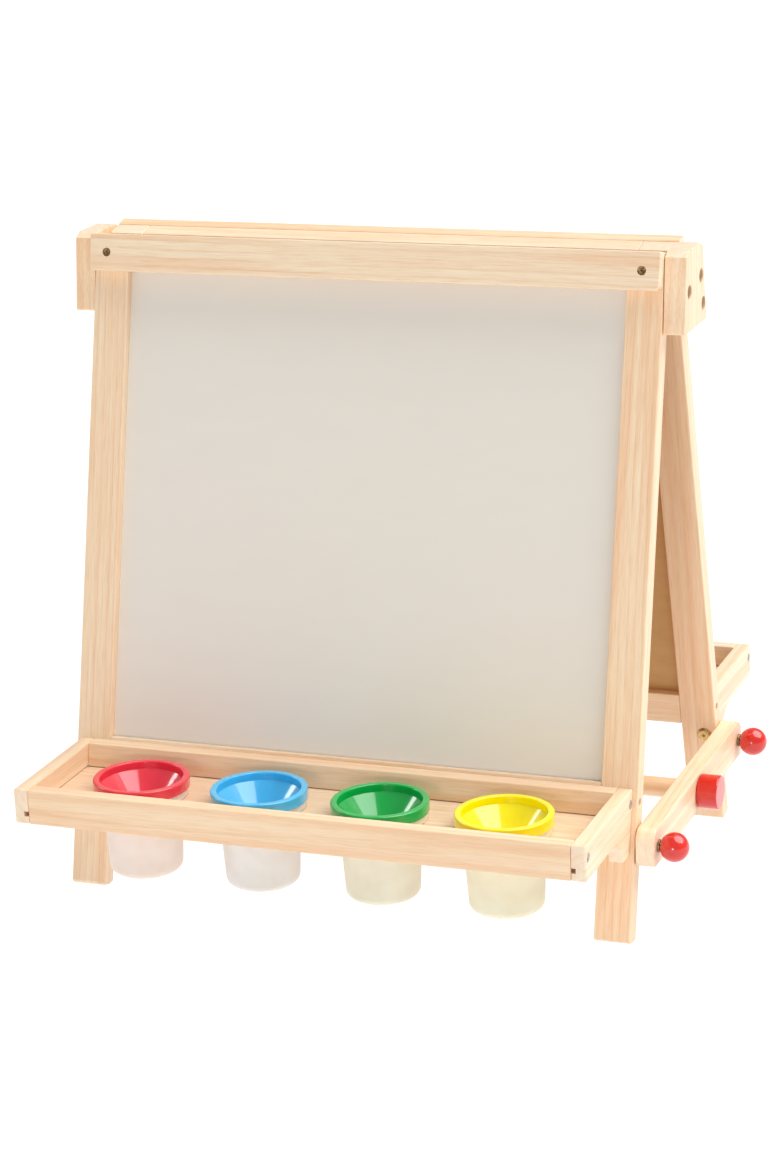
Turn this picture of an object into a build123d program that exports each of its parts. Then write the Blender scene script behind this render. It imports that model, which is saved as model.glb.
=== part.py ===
from build123d import *
import os
from math import cos, radians, sin, tan

os.makedirs("parts", exist_ok=True)

# A two-sided tabletop easel. X runs along the boards, Y from the front tray to the rear tray, Z up.
# The origin is on the ground, midway between the two frames. All sizes are in millimetres.

# Frames
frame_lean = 13.9                # each frame leans in from the vertical, degrees
foot_reach = 146.0               # middle of the easel to the outer edge of a foot
foot_lift = 2.5                  # outer edge of a square-cut foot above the ground
rear_half_width = 236.0
front_half_width = 235.6         # the front frame turns between the two hinge blocks
stile_length = 525.0
stile_width = 29.0
stile_thickness = 16.5
top_rail_height = 27.0
bottom_rail_foot = 94.0          # bottom rail's lower edge, measured up the stile
bottom_rail_height = 28.0
cap_rail_height = 29.5
cap_rail_thickness = 12.0
cap_corner_radius = 4.5
eased_edge = 1.0

# Drawing panels, held in a groove around the frame
panel_thickness = 3.0
panel_setback = 7.0              # outer face of a stile to the panel's drawing face
groove_depth = 5.0

# Trays
tray_half_length = 232.0
tray_top = 118.5
tray_front = 239.0               # middle of the easel to the tray's outer face
tray_board_height = 28.0
tray_board_thickness = 12.0
tray_ear_bottom = 68.5
tray_ear_width = 16.0
tray_fixing_height = 85.5
floor_top = 100.0
floor_thickness = 3.0
floor_groove_depth = 4.0
cup_spacing = 100.0
cup_hole_radius = 33.0

# Hinge blocks
block_thickness = 17.0
block_bottom = 451.0
block_top = 513.0
block_bottom_half_depth = 31.5
block_top_half_depth = 23.5
block_chamfer_depth = 7.0
block_chamfer_height = 4.0
pivot_y = -16.0
pivot_z = 481.0
block_screw_heights = (464.5, 487.0)

# Spreader bars, paper rod and knobs
spreader_centre_z = 75.0
spreader_height = 30.0
spreader_thickness = 15.0
spreader_half_length = 131.0
spreader_gap = 0.8               # bar to the side of the rear stile
spreader_top_radius = 10.0
spreader_bottom_radius = 6.0
rod_radius = 8.0
rod_cap_radius = 13.75
rod_cap_length = 16.5
rod_cap_gap = 0.4               # bar to cap
rod_grip = 10.0                  # length of rod inside each cap
ball_radius = 11.5
ball_flat_radius = 6.5
stud_grip = 9.0                  # length of stud inside a ball
ball_flat_gap = 3.2              # bar to the flat on the ball
knob_washer_radius = 5.0
knob_washer_hole = 3.4
knob_washer_thickness = 1.6
knob_washer_gap = 0.4            # bar to washer
running_gap = 0.06               # radial gap around everything that turns
stud_radius = 3.0
insert_radius = 4.5
insert_length = 11.0

# Screws
rail_screw_length = 45.0
cap_screw_length = 17.0
end_screw_length = 26.0
fixing_screw_length = 29.0
block_screw_length = 28.0
pivot_screw_length = 26.0
pivot_bore_depth = 15.0
open_above = 3.0                 # how far a cutting tool stands proud of the surface it cuts
screw_shank_radius = 1.75
screw_head_radius = 3.4
screw_head_height = 2.2
screw_recess = 0.8
block_screw_head_radius = 4.6
block_screw_head_height = 2.4
block_recess_radius = 5.8
block_recess_depth = 3.2
cup_washer_radius = 6.0
cup_washer_height = 2.4

# Paint cups and lids
cup_bottom = 38.8
cup_bottom_radius = 28.6
cup_floor_radius = 32.0          # body where it passes the tray floor
cup_wall = 1.5
cup_corner = 6.0
cup_lift = 0.3                   # flange to tray floor
cup_neck_radius = 36.0
cup_neck_top = 112.9
lid_radius = 38.0
lid_top = 115.8
lid_wall = 1.5
lid_skirt_bottom = 106.8
lid_fit = 0.35
lid_rim_edge = 1.2
lid_funnel_top = 109.5
lid_hole_radius = 10.5
lid_hole_z = 86.5

lean = radians(frame_lean)
block_outer_x = rear_half_width + block_thickness
bar_inner_x = rear_half_width + spreader_gap
bar_outer_x = bar_inner_x + spreader_thickness
floor_bottom = floor_top - floor_thickness
cup_columns = [cup_spacing * step for step in (-1.5, -0.5, 0.5, 1.5)]
frame_sides = {"front": -1, "rear": 1}
hands = {"left": -1, "right": 1}


def frame_plane(side):
    """Plane of a frame's outer face: origin at the foot, x along the rails, y up the stiles."""
    return Plane(
        origin=(0, side * foot_reach, foot_lift),
        x_dir=(-side, 0, 0),
        z_dir=(0, side * cos(lean), sin(lean)),
    )


def half_width(side):
    """Half of the frame's width over the stiles."""
    return front_half_width if side < 0 else rear_half_width


def face_y(z):
    """Distance of a stile's outer face from the middle plane at height z."""
    return foot_reach - (z - foot_lift) * tan(lean)


def stile_axis_y(z):
    """Distance of a stile's centre line from the middle plane at height z."""
    return face_y(z) - stile_thickness / (2 * cos(lean))


knob_y = stile_axis_y(spreader_centre_z)
cup_row_y = -(tray_front + face_y(floor_top)) / 2


def side_plane(hand, x, y, z):
    """Plane on a face that looks out to the left or the right, at the point given."""
    return Plane(origin=(hand * x, y, z), x_dir=(0, 1, 0), z_dir=(hand, 0, 0))


def finish(piece, name):
    """Label a piece and write it to its own file."""
    piece.part.label = name
    export_step(piece.part, f"parts/{name}.step")


def frame_screw_planes(side):
    """Planes of the four screws that go through the stiles into the rails' ends."""
    frame = frame_plane(side)
    heights = (
        bottom_rail_foot + bottom_rail_height / 2,
        stile_length - top_rail_height / 2,
    )
    planes = []
    for hand in hands.values():
        for height in heights:
            centre = frame.from_local_coords((0, height, -stile_thickness / 2))
            planes.append(side_plane(hand, half_width(side), centre.Y, centre.Z))
    return planes


def cap_screw_planes(side):
    """Planes of the two screws in the outer face of a cap rail."""
    spread = half_width(side) - stile_width / 2
    height = stile_length - cap_rail_height / 2
    face = frame_plane(side).offset(cap_rail_thickness)
    return [Plane(face.from_local_coords((x, height, 0)), face.x_dir, face.z_dir) for x in (-spread, spread)]


def tray_fixing_planes(side):
    """Planes of the screws through the stiles' inner faces into the ears of a tray."""
    spread = tray_half_length - tray_board_thickness / 2
    height = (tray_fixing_height - foot_lift) / cos(lean)
    inner = frame_plane(side).offset(-stile_thickness)
    spots = [inner.from_local_coords((x, height, 0)) for x in (-spread, spread)]
    return [Plane(spot, inner.x_dir, -inner.z_dir) for spot in spots]


def tray_end_screw_planes(side):
    """Planes of the four screws in the outer faces of a tray's ends."""
    back = face_y(tray_top) + tray_board_thickness / 2 + 1
    front = tray_front - tray_board_thickness / 2
    height = tray_top - tray_board_height * 0.38
    return [
        side_plane(hand, tray_half_length, side * y, height)
        for hand in hands.values()
        for y in (back, front)
    ]


def knob_plane(hand, end_y, x):
    """Plane square to a knob's axis, looking outward."""
    return side_plane(hand, x, end_y, spreader_centre_z)


def block_screw_planes():
    """Planes of the screws that fix the hinge blocks to the rear stiles."""
    return [
        side_plane(hand, block_outer_x - block_recess_depth, stile_axis_y(z), z)
        for hand in hands.values()
        for z in block_screw_heights
    ]


def pivot_planes():
    """Planes of the two screws that the front frame turns on."""
    return [
        side_plane(hand, block_outer_x - block_recess_depth, pivot_y, pivot_z)
        for hand in hands.values()
    ]


def screw_shapes(planes, length, recess=screw_recess, above=0.0):
    """Countersunk screws with their heads sunk by recess; above adds the open recess, for cutting."""
    top = (Align.CENTER, Align.CENTER, Align.MAX)
    base = (Align.CENTER, Align.CENTER, Align.MIN)
    with BuildPart() as shapes:
        with Locations(*[Location(plane.offset(-recess)) for plane in planes]):
            Cylinder(screw_shank_radius, length - recess, align=top)
            Cone(screw_shank_radius, screw_head_radius, screw_head_height, align=top)
            if above:
                Cylinder(screw_head_radius, above, align=base)
    return shapes


def rods(planes, radius, start, end):
    """Round bars of one radius on each plane's axis, from start to end along it."""
    with BuildPart() as bars:
        with Locations(*[Location(plane.offset(start)) for plane in planes]):
            Cylinder(radius, end - start, align=(Align.CENTER, Align.CENTER, Align.MIN))
    return bars


def frame_board(side, x_centre, width, bottom, top, outer, inner):
    """A board that lies in a frame, between two heights up the stile and two depths behind its face."""
    frame = frame_plane(side)
    with BuildPart() as board:
        with BuildSketch(frame.offset(outer)):
            with Locations((x_centre, (bottom + top) / 2)):
                Rectangle(width, top - bottom)
        extrude(amount=inner - outer)
    return board


def make_panel(side):
    """The drawing panel, reaching into the groove all round."""
    return frame_board(
        side,
        0,
        2 * (half_width(side) - stile_width + groove_depth),
        bottom_rail_foot + bottom_rail_height - groove_depth,
        stile_length - top_rail_height + groove_depth,
        -panel_setback,
        -panel_setback - panel_thickness,
    )


def make_stile(side, hand):
    """One leg of a frame, cut square, with a narrow level flat where the foot meets the ground."""
    frame = frame_plane(side)
    centre_x = -side * hand * (half_width(side) - stile_width / 2)
    blank = frame_board(side, centre_x, stile_width, 0, stile_length, 0, -stile_thickness)
    axle_y = side * stile_axis_y(spreader_centre_z)
    insert = knob_plane(hand, axle_y, half_width(side))
    pivot = side_plane(hand, front_half_width, pivot_y, pivot_z)
    with BuildPart() as stile:
        add(blank.part)
        fillet(stile.edges().filter_by(Axis((0, 0, 0), frame.y_dir)), radius=eased_edge)
        split(bisect_by=Plane.XY, keep=Keep.TOP)
        add(make_panel(side).part, mode=Mode.SUBTRACT)
        add(screw_shapes(frame_screw_planes(side), rail_screw_length, above=open_above).part, mode=Mode.SUBTRACT)
        add(screw_shapes(cap_screw_planes(side), cap_screw_length).part, mode=Mode.SUBTRACT)
        add(rods(tray_fixing_planes(side), screw_shank_radius, -fixing_screw_length, open_above).part, mode=Mode.SUBTRACT)
        add(rods([insert], insert_radius, -insert_length, open_above).part, mode=Mode.SUBTRACT)
        if side < 0:
            add(rods([pivot], stud_radius + running_gap, -pivot_bore_depth, open_above).part, mode=Mode.SUBTRACT)
        else:
            add(rods(block_screw_planes(), screw_shank_radius, -block_screw_length, open_above).part, mode=Mode.SUBTRACT)
    return stile


def make_rail(side, bottom, height):
    """A rail between the stiles, grooved for the panel and drilled for the screws in its ends."""
    width = 2 * (half_width(side) - stile_width)
    blank = frame_board(side, 0, width, bottom, bottom + height, 0, -stile_thickness)
    with BuildPart() as rail:
        add(blank.part)
        add(make_panel(side).part, mode=Mode.SUBTRACT)
        add(screw_shapes(frame_screw_planes(side), rail_screw_length).part, mode=Mode.SUBTRACT)
    return rail


def make_cap_rail(side):
    """The rail laid over the stiles' outer faces at the top, its lower corners rounded."""
    frame = frame_plane(side)
    bottom = stile_length - cap_rail_height
    blank = frame_board(side, 0, 2 * half_width(side), bottom, stile_length, cap_rail_thickness, 0)
    with BuildPart() as cap:
        add(blank.part)
        through = cap.edges().filter_by(Axis((0, 0, 0), frame.z_dir))
        fillet(through.sort_by(Axis((0, 0, 0), frame.y_dir))[:2], radius=cap_corner_radius)
        outer_face = cap.faces().sort_by(Axis((0, 0, 0), frame.z_dir))[-1]
        fillet(outer_face.edges(), radius=eased_edge)
        add(screw_shapes(cap_screw_planes(side), cap_screw_length, above=open_above).part, mode=Mode.SUBTRACT)
    return cap


def make_tray_floor(side):
    """The thin tray floor with its row of cup holes."""
    front_edge = tray_front - tray_board_thickness + floor_groove_depth
    back_edge = face_y(floor_top) + tray_board_thickness / cos(lean) - floor_groove_depth
    length = 2 * (tray_half_length - tray_board_thickness + floor_groove_depth)
    with BuildPart() as floor:
        with BuildSketch(Plane.XY.offset(floor_bottom)):
            with Locations((0, side * (front_edge + back_edge) / 2)):
                Rectangle(length, front_edge - back_edge)
            with Locations(*[(x, -side * cup_row_y) for x in cup_columns]):
                Circle(cup_hole_radius, mode=Mode.SUBTRACT)
        extrude(amount=floor_thickness)
    return floor


def make_groove_tool(side):
    """The tray floor without its holes, which cuts the grooves in the boards around it."""
    floor = make_tray_floor(side)
    base = (Align.CENTER, Align.CENTER, Align.MIN)
    with BuildPart() as tool:
        add(floor.part)
        with Locations(*[(x, -side * cup_row_y, floor_bottom) for x in cup_columns]):
            Cylinder(cup_hole_radius + 1, floor_thickness, align=base)
    return tool


def make_tray_end(side, hand):
    """A tray end: a straight board in front, a notch, and an ear that reaches down the stile."""
    bottom = tray_top - tray_board_height
    notch = bottom - tray_ear_bottom
    ear_front = face_y(tray_ear_bottom) + tray_ear_width
    arc_middle = (ear_front + notch * (1 - cos(radians(45))), tray_ear_bottom + notch * sin(radians(45)))
    start_x = tray_half_length - tray_board_thickness if hand > 0 else -tray_half_length
    slot_x = hand * (tray_half_length - tray_board_thickness + floor_groove_depth / 2)
    slot_y = side * (tray_front - tray_board_thickness / 2)
    with BuildPart() as end:
        with BuildSketch(Plane.YZ.offset(start_x)):
            with BuildLine():
                Polyline(
                    (side * ear_front, tray_ear_bottom),
                    (side * face_y(tray_ear_bottom), tray_ear_bottom),
                    (side * face_y(tray_top), tray_top),
                    (side * tray_front, tray_top),
                    (side * tray_front, bottom),
                    (side * (ear_front + notch), bottom),
                )
                ThreePointArc(
                    (side * (ear_front + notch), bottom),
                    (side * arc_middle[0], arc_middle[1]),
                    (side * ear_front, tray_ear_bottom),
                )
            make_face()
        extrude(amount=tray_board_thickness)
        outer_face = end.faces().sort_by(Axis.X)[-1 if hand > 0 else 0]
        fillet(outer_face.edges(), radius=eased_edge)
        add(make_groove_tool(side).part, mode=Mode.SUBTRACT)
        with Locations((slot_x, slot_y, floor_top - floor_thickness / 2)):
            Box(floor_groove_depth, tray_board_thickness, floor_thickness, mode=Mode.SUBTRACT)
        add(
            screw_shapes(tray_end_screw_planes(side), end_screw_length, above=open_above).part,
            mode=Mode.SUBTRACT,
        )
        add(
            rods(tray_fixing_planes(side), screw_shank_radius, -fixing_screw_length, open_above).part,
            mode=Mode.SUBTRACT,
        )
    return end


def make_tray_outer_board(side):
    """The tray's front board, between the two ends."""
    length = 2 * (tray_half_length - tray_board_thickness)
    bottom = tray_top - tray_board_height
    with BuildPart() as board:
        with BuildSketch(Plane.XY.offset(bottom)):
            with Locations((0, side * (tray_front - tray_board_thickness / 2))):
                Rectangle(length, tray_board_thickness)
        extrude(amount=tray_board_height)
        fillet(board.edges().filter_by(Axis.X), radius=eased_edge)
        add(make_groove_tool(side).part, mode=Mode.SUBTRACT)
        add(screw_shapes(tray_end_screw_planes(side), end_screw_length).part, mode=Mode.SUBTRACT)
    return board


def make_tray_inner_board(side):
    """The tray's back board, which leans with the stiles it is fixed against."""
    length = 2 * (tray_half_length - tray_board_thickness)
    bottom = tray_top - tray_board_height
    depth = tray_board_thickness / cos(lean)
    with BuildPart() as board:
        with BuildSketch(Plane.YZ.offset(-length / 2)):
            with BuildLine():
                Polyline(
                    (side * face_y(bottom), bottom),
                    (side * face_y(tray_top), tray_top),
                    (side * (face_y(tray_top) + depth), tray_top),
                    (side * (face_y(bottom) + depth), bottom),
                    close=True,
                )
            make_face()
        extrude(amount=length)
        add(make_groove_tool(side).part, mode=Mode.SUBTRACT)
        add(screw_shapes(tray_end_screw_planes(side), end_screw_length).part, mode=Mode.SUBTRACT)
    return board


def make_cup_washers(side):
    """Dished washers under the heads of the screws that hold a tray to the stiles."""
    base = (Align.CENTER, Align.CENTER, Align.MIN)
    planes = tray_fixing_planes(side)
    heads = screw_shapes([plane.offset(cup_washer_height) for plane in planes], fixing_screw_length, 0)
    with BuildPart() as washers:
        with Locations(*[Location(plane) for plane in planes]):
            Cone(cup_washer_radius, screw_head_radius + 0.6, cup_washer_height, align=base)
        add(heads.part, mode=Mode.SUBTRACT)
    return washers


def make_hinge_block(hand):
    """The block that joins the two frames at one side of the top."""
    start_x = rear_half_width if hand > 0 else -block_outer_x
    shoulder = block_top_half_depth - block_chamfer_depth
    with BuildPart() as block:
        with BuildSketch(Plane.YZ.offset(start_x)):
            with BuildLine():
                Polyline(
                    (-block_bottom_half_depth, block_bottom),
                    (block_bottom_half_depth, block_bottom),
                    (block_top_half_depth, block_top - block_chamfer_height),
                    (shoulder, block_top),
                    (-shoulder, block_top),
                    (-block_top_half_depth, block_top - block_chamfer_height),
                    close=True,
                )
            make_face()
        extrude(amount=block_thickness)
        fillet(block.edges().filter_by(Axis.X).group_by(Axis.Z)[0], radius=2 * eased_edge)
        outer_face = block.faces().sort_by(Axis.X)[-1 if hand > 0 else 0]
        fillet(outer_face.edges(), radius=eased_edge)
        planes = block_screw_planes() + pivot_planes()
        add(rods(planes, block_recess_radius, 0, block_recess_depth + open_above).part, mode=Mode.SUBTRACT)
        add(rods(block_screw_planes(), screw_shank_radius, -block_screw_length, 1).part, mode=Mode.SUBTRACT)
        add(rods(pivot_planes(), stud_radius, -pivot_screw_length, 1).part, mode=Mode.SUBTRACT)
    return block


def headed_screws(planes, shank_radius, length):
    """Pan-head screws that bear on each plane."""
    heads = rods(planes, block_screw_head_radius, 0, block_screw_head_height)
    shanks = rods(planes, shank_radius, -length, 0)
    with BuildPart() as screws:
        add(heads.part)
        add(shanks.part)
        rims = screws.edges().filter_by(GeomType.CIRCLE).filter_by(lambda e: e.radius > shank_radius + 1)
        fillet([edge for plane in planes for edge in rims if on_plane(edge, plane)], radius=eased_edge)
    return screws


def on_plane(edge, plane):
    """Whether a round edge is the top rim of the head that bears on a plane."""
    centre = plane.to_local_coords(edge.arc_center)
    return abs(centre.Z - block_screw_head_height) < 0.01 and abs(centre.X) + abs(centre.Y) < 0.01


def make_spreader(hand):
    """A bar across the two legs on one side, with rounded ends."""
    start_x = bar_inner_x if hand > 0 else -bar_outer_x
    knobs = [knob_plane(hand, y, bar_inner_x) for y in (-knob_y, knob_y)]
    axle = [side_plane(hand, bar_inner_x, 0, spreader_centre_z)]
    with BuildPart() as bar:
        with BuildSketch(Plane.YZ.offset(start_x)):
            with Locations((0, spreader_centre_z)):
                Rectangle(2 * spreader_half_length, spreader_height)
            fillet(vertices().group_by(Axis.Y)[-1], radius=spreader_top_radius)
            fillet(vertices().group_by(Axis.Y)[0], radius=spreader_bottom_radius)
        extrude(amount=spreader_thickness)
        fillet(bar.edges().filter_by(Axis.X, reverse=True).group_by(Axis.X)[-1], radius=eased_edge)
        fillet(bar.edges().filter_by(Axis.X, reverse=True).group_by(Axis.X)[0], radius=eased_edge)
        add(rods(knobs, stud_radius + running_gap, -1, spreader_thickness + 1).part, mode=Mode.SUBTRACT)
        add(rods(axle, rod_radius + running_gap, -1, spreader_thickness + 1).part, mode=Mode.SUBTRACT)
    return bar


def make_roll_rod():
    """The dowel that carries a roll of paper, through both bars and into the caps."""
    half_length = bar_outer_x + rod_cap_gap + rod_grip
    with BuildPart() as rod:
        with BuildSketch(Plane.YZ.offset(-half_length)):
            with Locations((0, spreader_centre_z)):
                Circle(rod_radius)
        extrude(amount=2 * half_length)
        chamfer(rod.edges(), length=eased_edge)
    return rod


def make_rod_cap(hand):
    """A round cap pushed onto one end of the rod."""
    plane = side_plane(hand, bar_outer_x + rod_cap_gap, 0, spreader_centre_z)
    with BuildPart() as cap:
        with BuildSketch(plane):
            Circle(rod_cap_radius)
        extrude(amount=rod_cap_length)
        fillet(cap.edges(), radius=eased_edge)
        add(rods([plane], rod_radius, -1, rod_grip).part, mode=Mode.SUBTRACT)
    return cap


def ball_centre_x():
    """Distance of a ball's centre from the middle, set by the flat turned on it."""
    return bar_outer_x + ball_flat_gap + (ball_radius**2 - ball_flat_radius**2) ** 0.5


def make_knob(side, hand):
    """A ball with a flat towards the bar and a blind hole for its stud."""
    plane = knob_plane(hand, side * knob_y, ball_centre_x())
    flat_plane = knob_plane(hand, side * knob_y, bar_outer_x + ball_flat_gap)
    with BuildPart() as ball:
        with Locations(Location(plane)):
            Sphere(ball_radius)
        split(bisect_by=flat_plane, keep=Keep.TOP)
        add(rods([flat_plane], stud_radius, -1, stud_grip).part, mode=Mode.SUBTRACT)
    return ball


def make_stud(side, hand):
    """A knob's stud: the rear pair reach into the legs, the front pair stop inside the bar."""
    leg_reach = spreader_gap + spreader_thickness + insert_length - 1
    reach = leg_reach if side > 0 else spreader_thickness
    plane = knob_plane(hand, side * knob_y, bar_outer_x)
    return rods([plane], stud_radius, -reach, ball_flat_gap + stud_grip)


def make_knob_washers():
    """The four washers between the knobs and the bars."""
    planes = [
        knob_plane(hand, y, bar_outer_x + knob_washer_gap)
        for hand in hands.values()
        for y in (-knob_y, knob_y)
    ]
    with BuildPart() as washers:
        add(rods(planes, knob_washer_radius, 0, knob_washer_thickness).part)
        add(rods(planes, knob_washer_hole, -1, knob_washer_thickness + 1).part, mode=Mode.SUBTRACT)
    return washers


def make_inserts(side):
    """Brass inserts in the outer edges of a frame's legs, bored for the studs."""
    planes = [knob_plane(hand, side * knob_y, half_width(side)) for hand in hands.values()]
    with BuildPart() as inserts:
        add(rods(planes, insert_radius, -insert_length, 0).part)
        add(rods(planes, stud_radius + running_gap, 0.5 - insert_length, 1).part, mode=Mode.SUBTRACT)
    return inserts


def round_profile_plane(x):
    """Upright plane through a cup's axis: x is the radius, y is the height."""
    return Plane(origin=(x, cup_row_y, 0), x_dir=(1, 0, 0), z_dir=(0, -1, 0))


def make_cup(x):
    """A tapered paint cup whose shoulder rests on the tray floor."""
    shoulder = floor_top + cup_lift
    outer_corner = (cup_bottom_radius, cup_bottom)
    inner_corner = (cup_bottom_radius - cup_wall, cup_bottom + cup_wall)
    with BuildPart() as cup:
        with BuildSketch(round_profile_plane(x)):
            with BuildLine():
                Polyline(
                    (0, cup_bottom),
                    outer_corner,
                    (cup_floor_radius, shoulder),
                    (cup_neck_radius, shoulder),
                    (cup_neck_radius, cup_neck_top),
                    (cup_neck_radius - cup_wall, cup_neck_top),
                    (cup_neck_radius - cup_wall, shoulder + cup_wall),
                    (cup_floor_radius - cup_wall, shoulder + cup_wall),
                    inner_corner,
                    (0, cup_bottom + cup_wall),
                    close=True,
                )
            make_face()
            fillet(vertices().sort_by_distance(outer_corner)[0], radius=cup_corner)
            fillet(vertices().sort_by_distance(inner_corner)[0], radius=cup_corner - cup_wall)
        revolve(axis=Axis((x, cup_row_y, 0), (0, 0, 1)))
    return cup


def make_lid(x):
    """A no-spill lid: a rim that grips the cup's neck, and a funnel down to the brush hole."""
    inside = cup_neck_radius - cup_wall - lid_fit
    outside = cup_neck_radius + lid_fit
    web = cup_neck_top + lid_fit
    with BuildPart() as lid:
        with BuildSketch(round_profile_plane(x)):
            with BuildLine():
                Polyline(
                    (outside, lid_skirt_bottom),
                    (lid_radius, lid_skirt_bottom),
                    (lid_radius, lid_top),
                    (inside - lid_wall, lid_top),
                    (inside - lid_wall, lid_funnel_top),
                    (lid_hole_radius, lid_hole_z),
                    (lid_hole_radius, lid_hole_z - 1.4 * lid_wall),
                    (inside, lid_funnel_top - lid_wall / 2),
                    (inside, web),
                    (outside, web),
                    close=True,
                )
            make_face()
            for corner in ((lid_radius, lid_top), (inside - lid_wall, lid_top)):
                fillet(vertices().sort_by_distance(corner)[0], radius=lid_rim_edge)
        revolve(axis=Axis((x, cup_row_y, 0), (0, 0, 1)))
    return lid


for side_name, side in frame_sides.items():
    for hand_name, hand in hands.items():
        finish(make_stile(side, hand), f"{side_name}_stile_{hand_name}")
        finish(make_tray_end(side, hand), f"{side_name}_tray_end_{hand_name}")
    finish(make_rail(side, stile_length - top_rail_height, top_rail_height), f"{side_name}_top_rail")
    finish(make_rail(side, bottom_rail_foot, bottom_rail_height), f"{side_name}_bottom_rail")
    finish(make_cap_rail(side), f"{side_name}_cap_rail")
    finish(make_panel(side), "whiteboard" if side < 0 else "chalkboard")
    finish(make_tray_floor(side), f"{side_name}_tray_floor")
    finish(make_tray_outer_board(side), f"{side_name}_tray_outer_board")
    finish(make_tray_inner_board(side), f"{side_name}_tray_inner_board")
    finish(screw_shapes(frame_screw_planes(side), rail_screw_length), f"{side_name}_rail_screws")
    finish(screw_shapes(cap_screw_planes(side), cap_screw_length), f"{side_name}_cap_screws")
    finish(screw_shapes(tray_end_screw_planes(side), end_screw_length), f"{side_name}_tray_end_screws")
    raised = [plane.offset(cup_washer_height) for plane in tray_fixing_planes(side)]
    finish(screw_shapes(raised, fixing_screw_length, 0), f"{side_name}_tray_fixing_screws")
    finish(make_cup_washers(side), f"{side_name}_cup_washers")
    finish(make_inserts(side), f"{side_name}_leg_inserts")

for hand_name, hand in hands.items():
    finish(make_hinge_block(hand), f"hinge_block_{hand_name}")
    finish(make_spreader(hand), f"spreader_{hand_name}")
    finish(make_rod_cap(hand), f"rod_cap_{hand_name}")
    for side_name, side in frame_sides.items():
        finish(make_knob(side, hand), f"{side_name}_knob_{hand_name}")
        finish(make_stud(side, hand), f"{side_name}_knob_stud_{hand_name}")

finish(headed_screws(block_screw_planes(), screw_shank_radius, block_screw_length), "block_screws")
finish(headed_screws(pivot_planes(), stud_radius, pivot_screw_length), "pivot_screws")
finish(make_knob_washers(), "knob_washers")
finish(make_roll_rod(), "roll_rod")

for number, x in enumerate(cup_columns, start=1):
    finish(make_cup(x), f"paint_cup_{number}")
    finish(make_lid(x), f"cup_lid_{number}")
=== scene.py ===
"""A two-sided tabletop easel in lacquered pine, with trays, paint cups and red knobs."""

import logging
from dataclasses import dataclass, field
from enum import Enum
from math import asin, cos, pi, radians, sin, sqrt, tan

import bmesh
import bpy
import numpy as np
from mathutils import Matrix, Vector

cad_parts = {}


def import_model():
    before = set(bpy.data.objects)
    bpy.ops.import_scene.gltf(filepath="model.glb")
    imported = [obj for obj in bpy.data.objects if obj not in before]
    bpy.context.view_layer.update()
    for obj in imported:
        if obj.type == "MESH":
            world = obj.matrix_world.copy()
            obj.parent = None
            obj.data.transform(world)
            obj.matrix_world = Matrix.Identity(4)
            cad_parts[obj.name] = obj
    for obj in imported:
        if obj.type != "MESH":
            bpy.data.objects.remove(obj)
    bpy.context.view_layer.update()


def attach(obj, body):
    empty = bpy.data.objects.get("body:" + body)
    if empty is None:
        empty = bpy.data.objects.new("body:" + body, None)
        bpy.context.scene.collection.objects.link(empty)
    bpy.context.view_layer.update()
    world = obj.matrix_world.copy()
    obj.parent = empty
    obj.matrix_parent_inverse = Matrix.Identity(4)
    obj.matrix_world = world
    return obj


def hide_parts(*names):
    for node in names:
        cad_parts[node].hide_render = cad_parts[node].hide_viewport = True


MM = 0.001                      # one millimetre in Blender's metres
CREASE = 40.0                   # angle over which an edge stays sharp, in degrees
TURNED_CREASE = 32.0            # the same on turned pieces, whose facets are finer
EDGE_ANGLE = radians(30)        # angle over which an edge is eased
TIMBER_PILE = 1000              # seed of the choice of boards
BOARD_STEP = 731.0              # distance along the log from one board to the next, mm
log = logging.getLogger("easel")


# ---------------------------------------------------------------------------------------------
# Names and small helpers
# ---------------------------------------------------------------------------------------------


class Named(Enum):
    """A choice whose name is also its word in the names of nodes and bodies."""

    @property
    def word(self) -> str:
        """The name in small letters."""
        return self.name.lower()


class Side(Named):
    """The two frames, by the sign of Y that they face."""

    FRONT = -1
    REAR = 1


class Hand(Named):
    """The two ends of the easel, by the sign of X."""

    LEFT = -1
    RIGHT = 1


def linear(colour: str) -> tuple[float, float, float, float]:
    """Turn an sRGB hex colour into a linear one.

    Args:
        colour: six hex digits after a hash sign.

    Returns:
        Linear red, green, blue and an alpha of one.
    """
    values = [int(colour[i : i + 2], 16) / 255 for i in (1, 3, 5)]
    return tuple(v / 12.92 if v <= 0.04045 else ((v + 0.055) / 1.055) ** 2.4 for v in values) + (1.0,)


def basis(origin: Vector, along_x: Vector, along_y: Vector) -> Matrix:
    """Make a frame from its origin and two of its axes.

    Args:
        origin: place of the frame, in millimetres.
        along_x: direction of its X axis.
        along_y: direction of its Y axis.

    Returns:
        The matrix that takes local millimetres to the easel's.
    """
    across = along_x.cross(along_y)
    columns = [list(along_x) + [0], list(along_y) + [0], list(across) + [0], list(origin) + [1]]
    return Matrix(columns).transposed()


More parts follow.
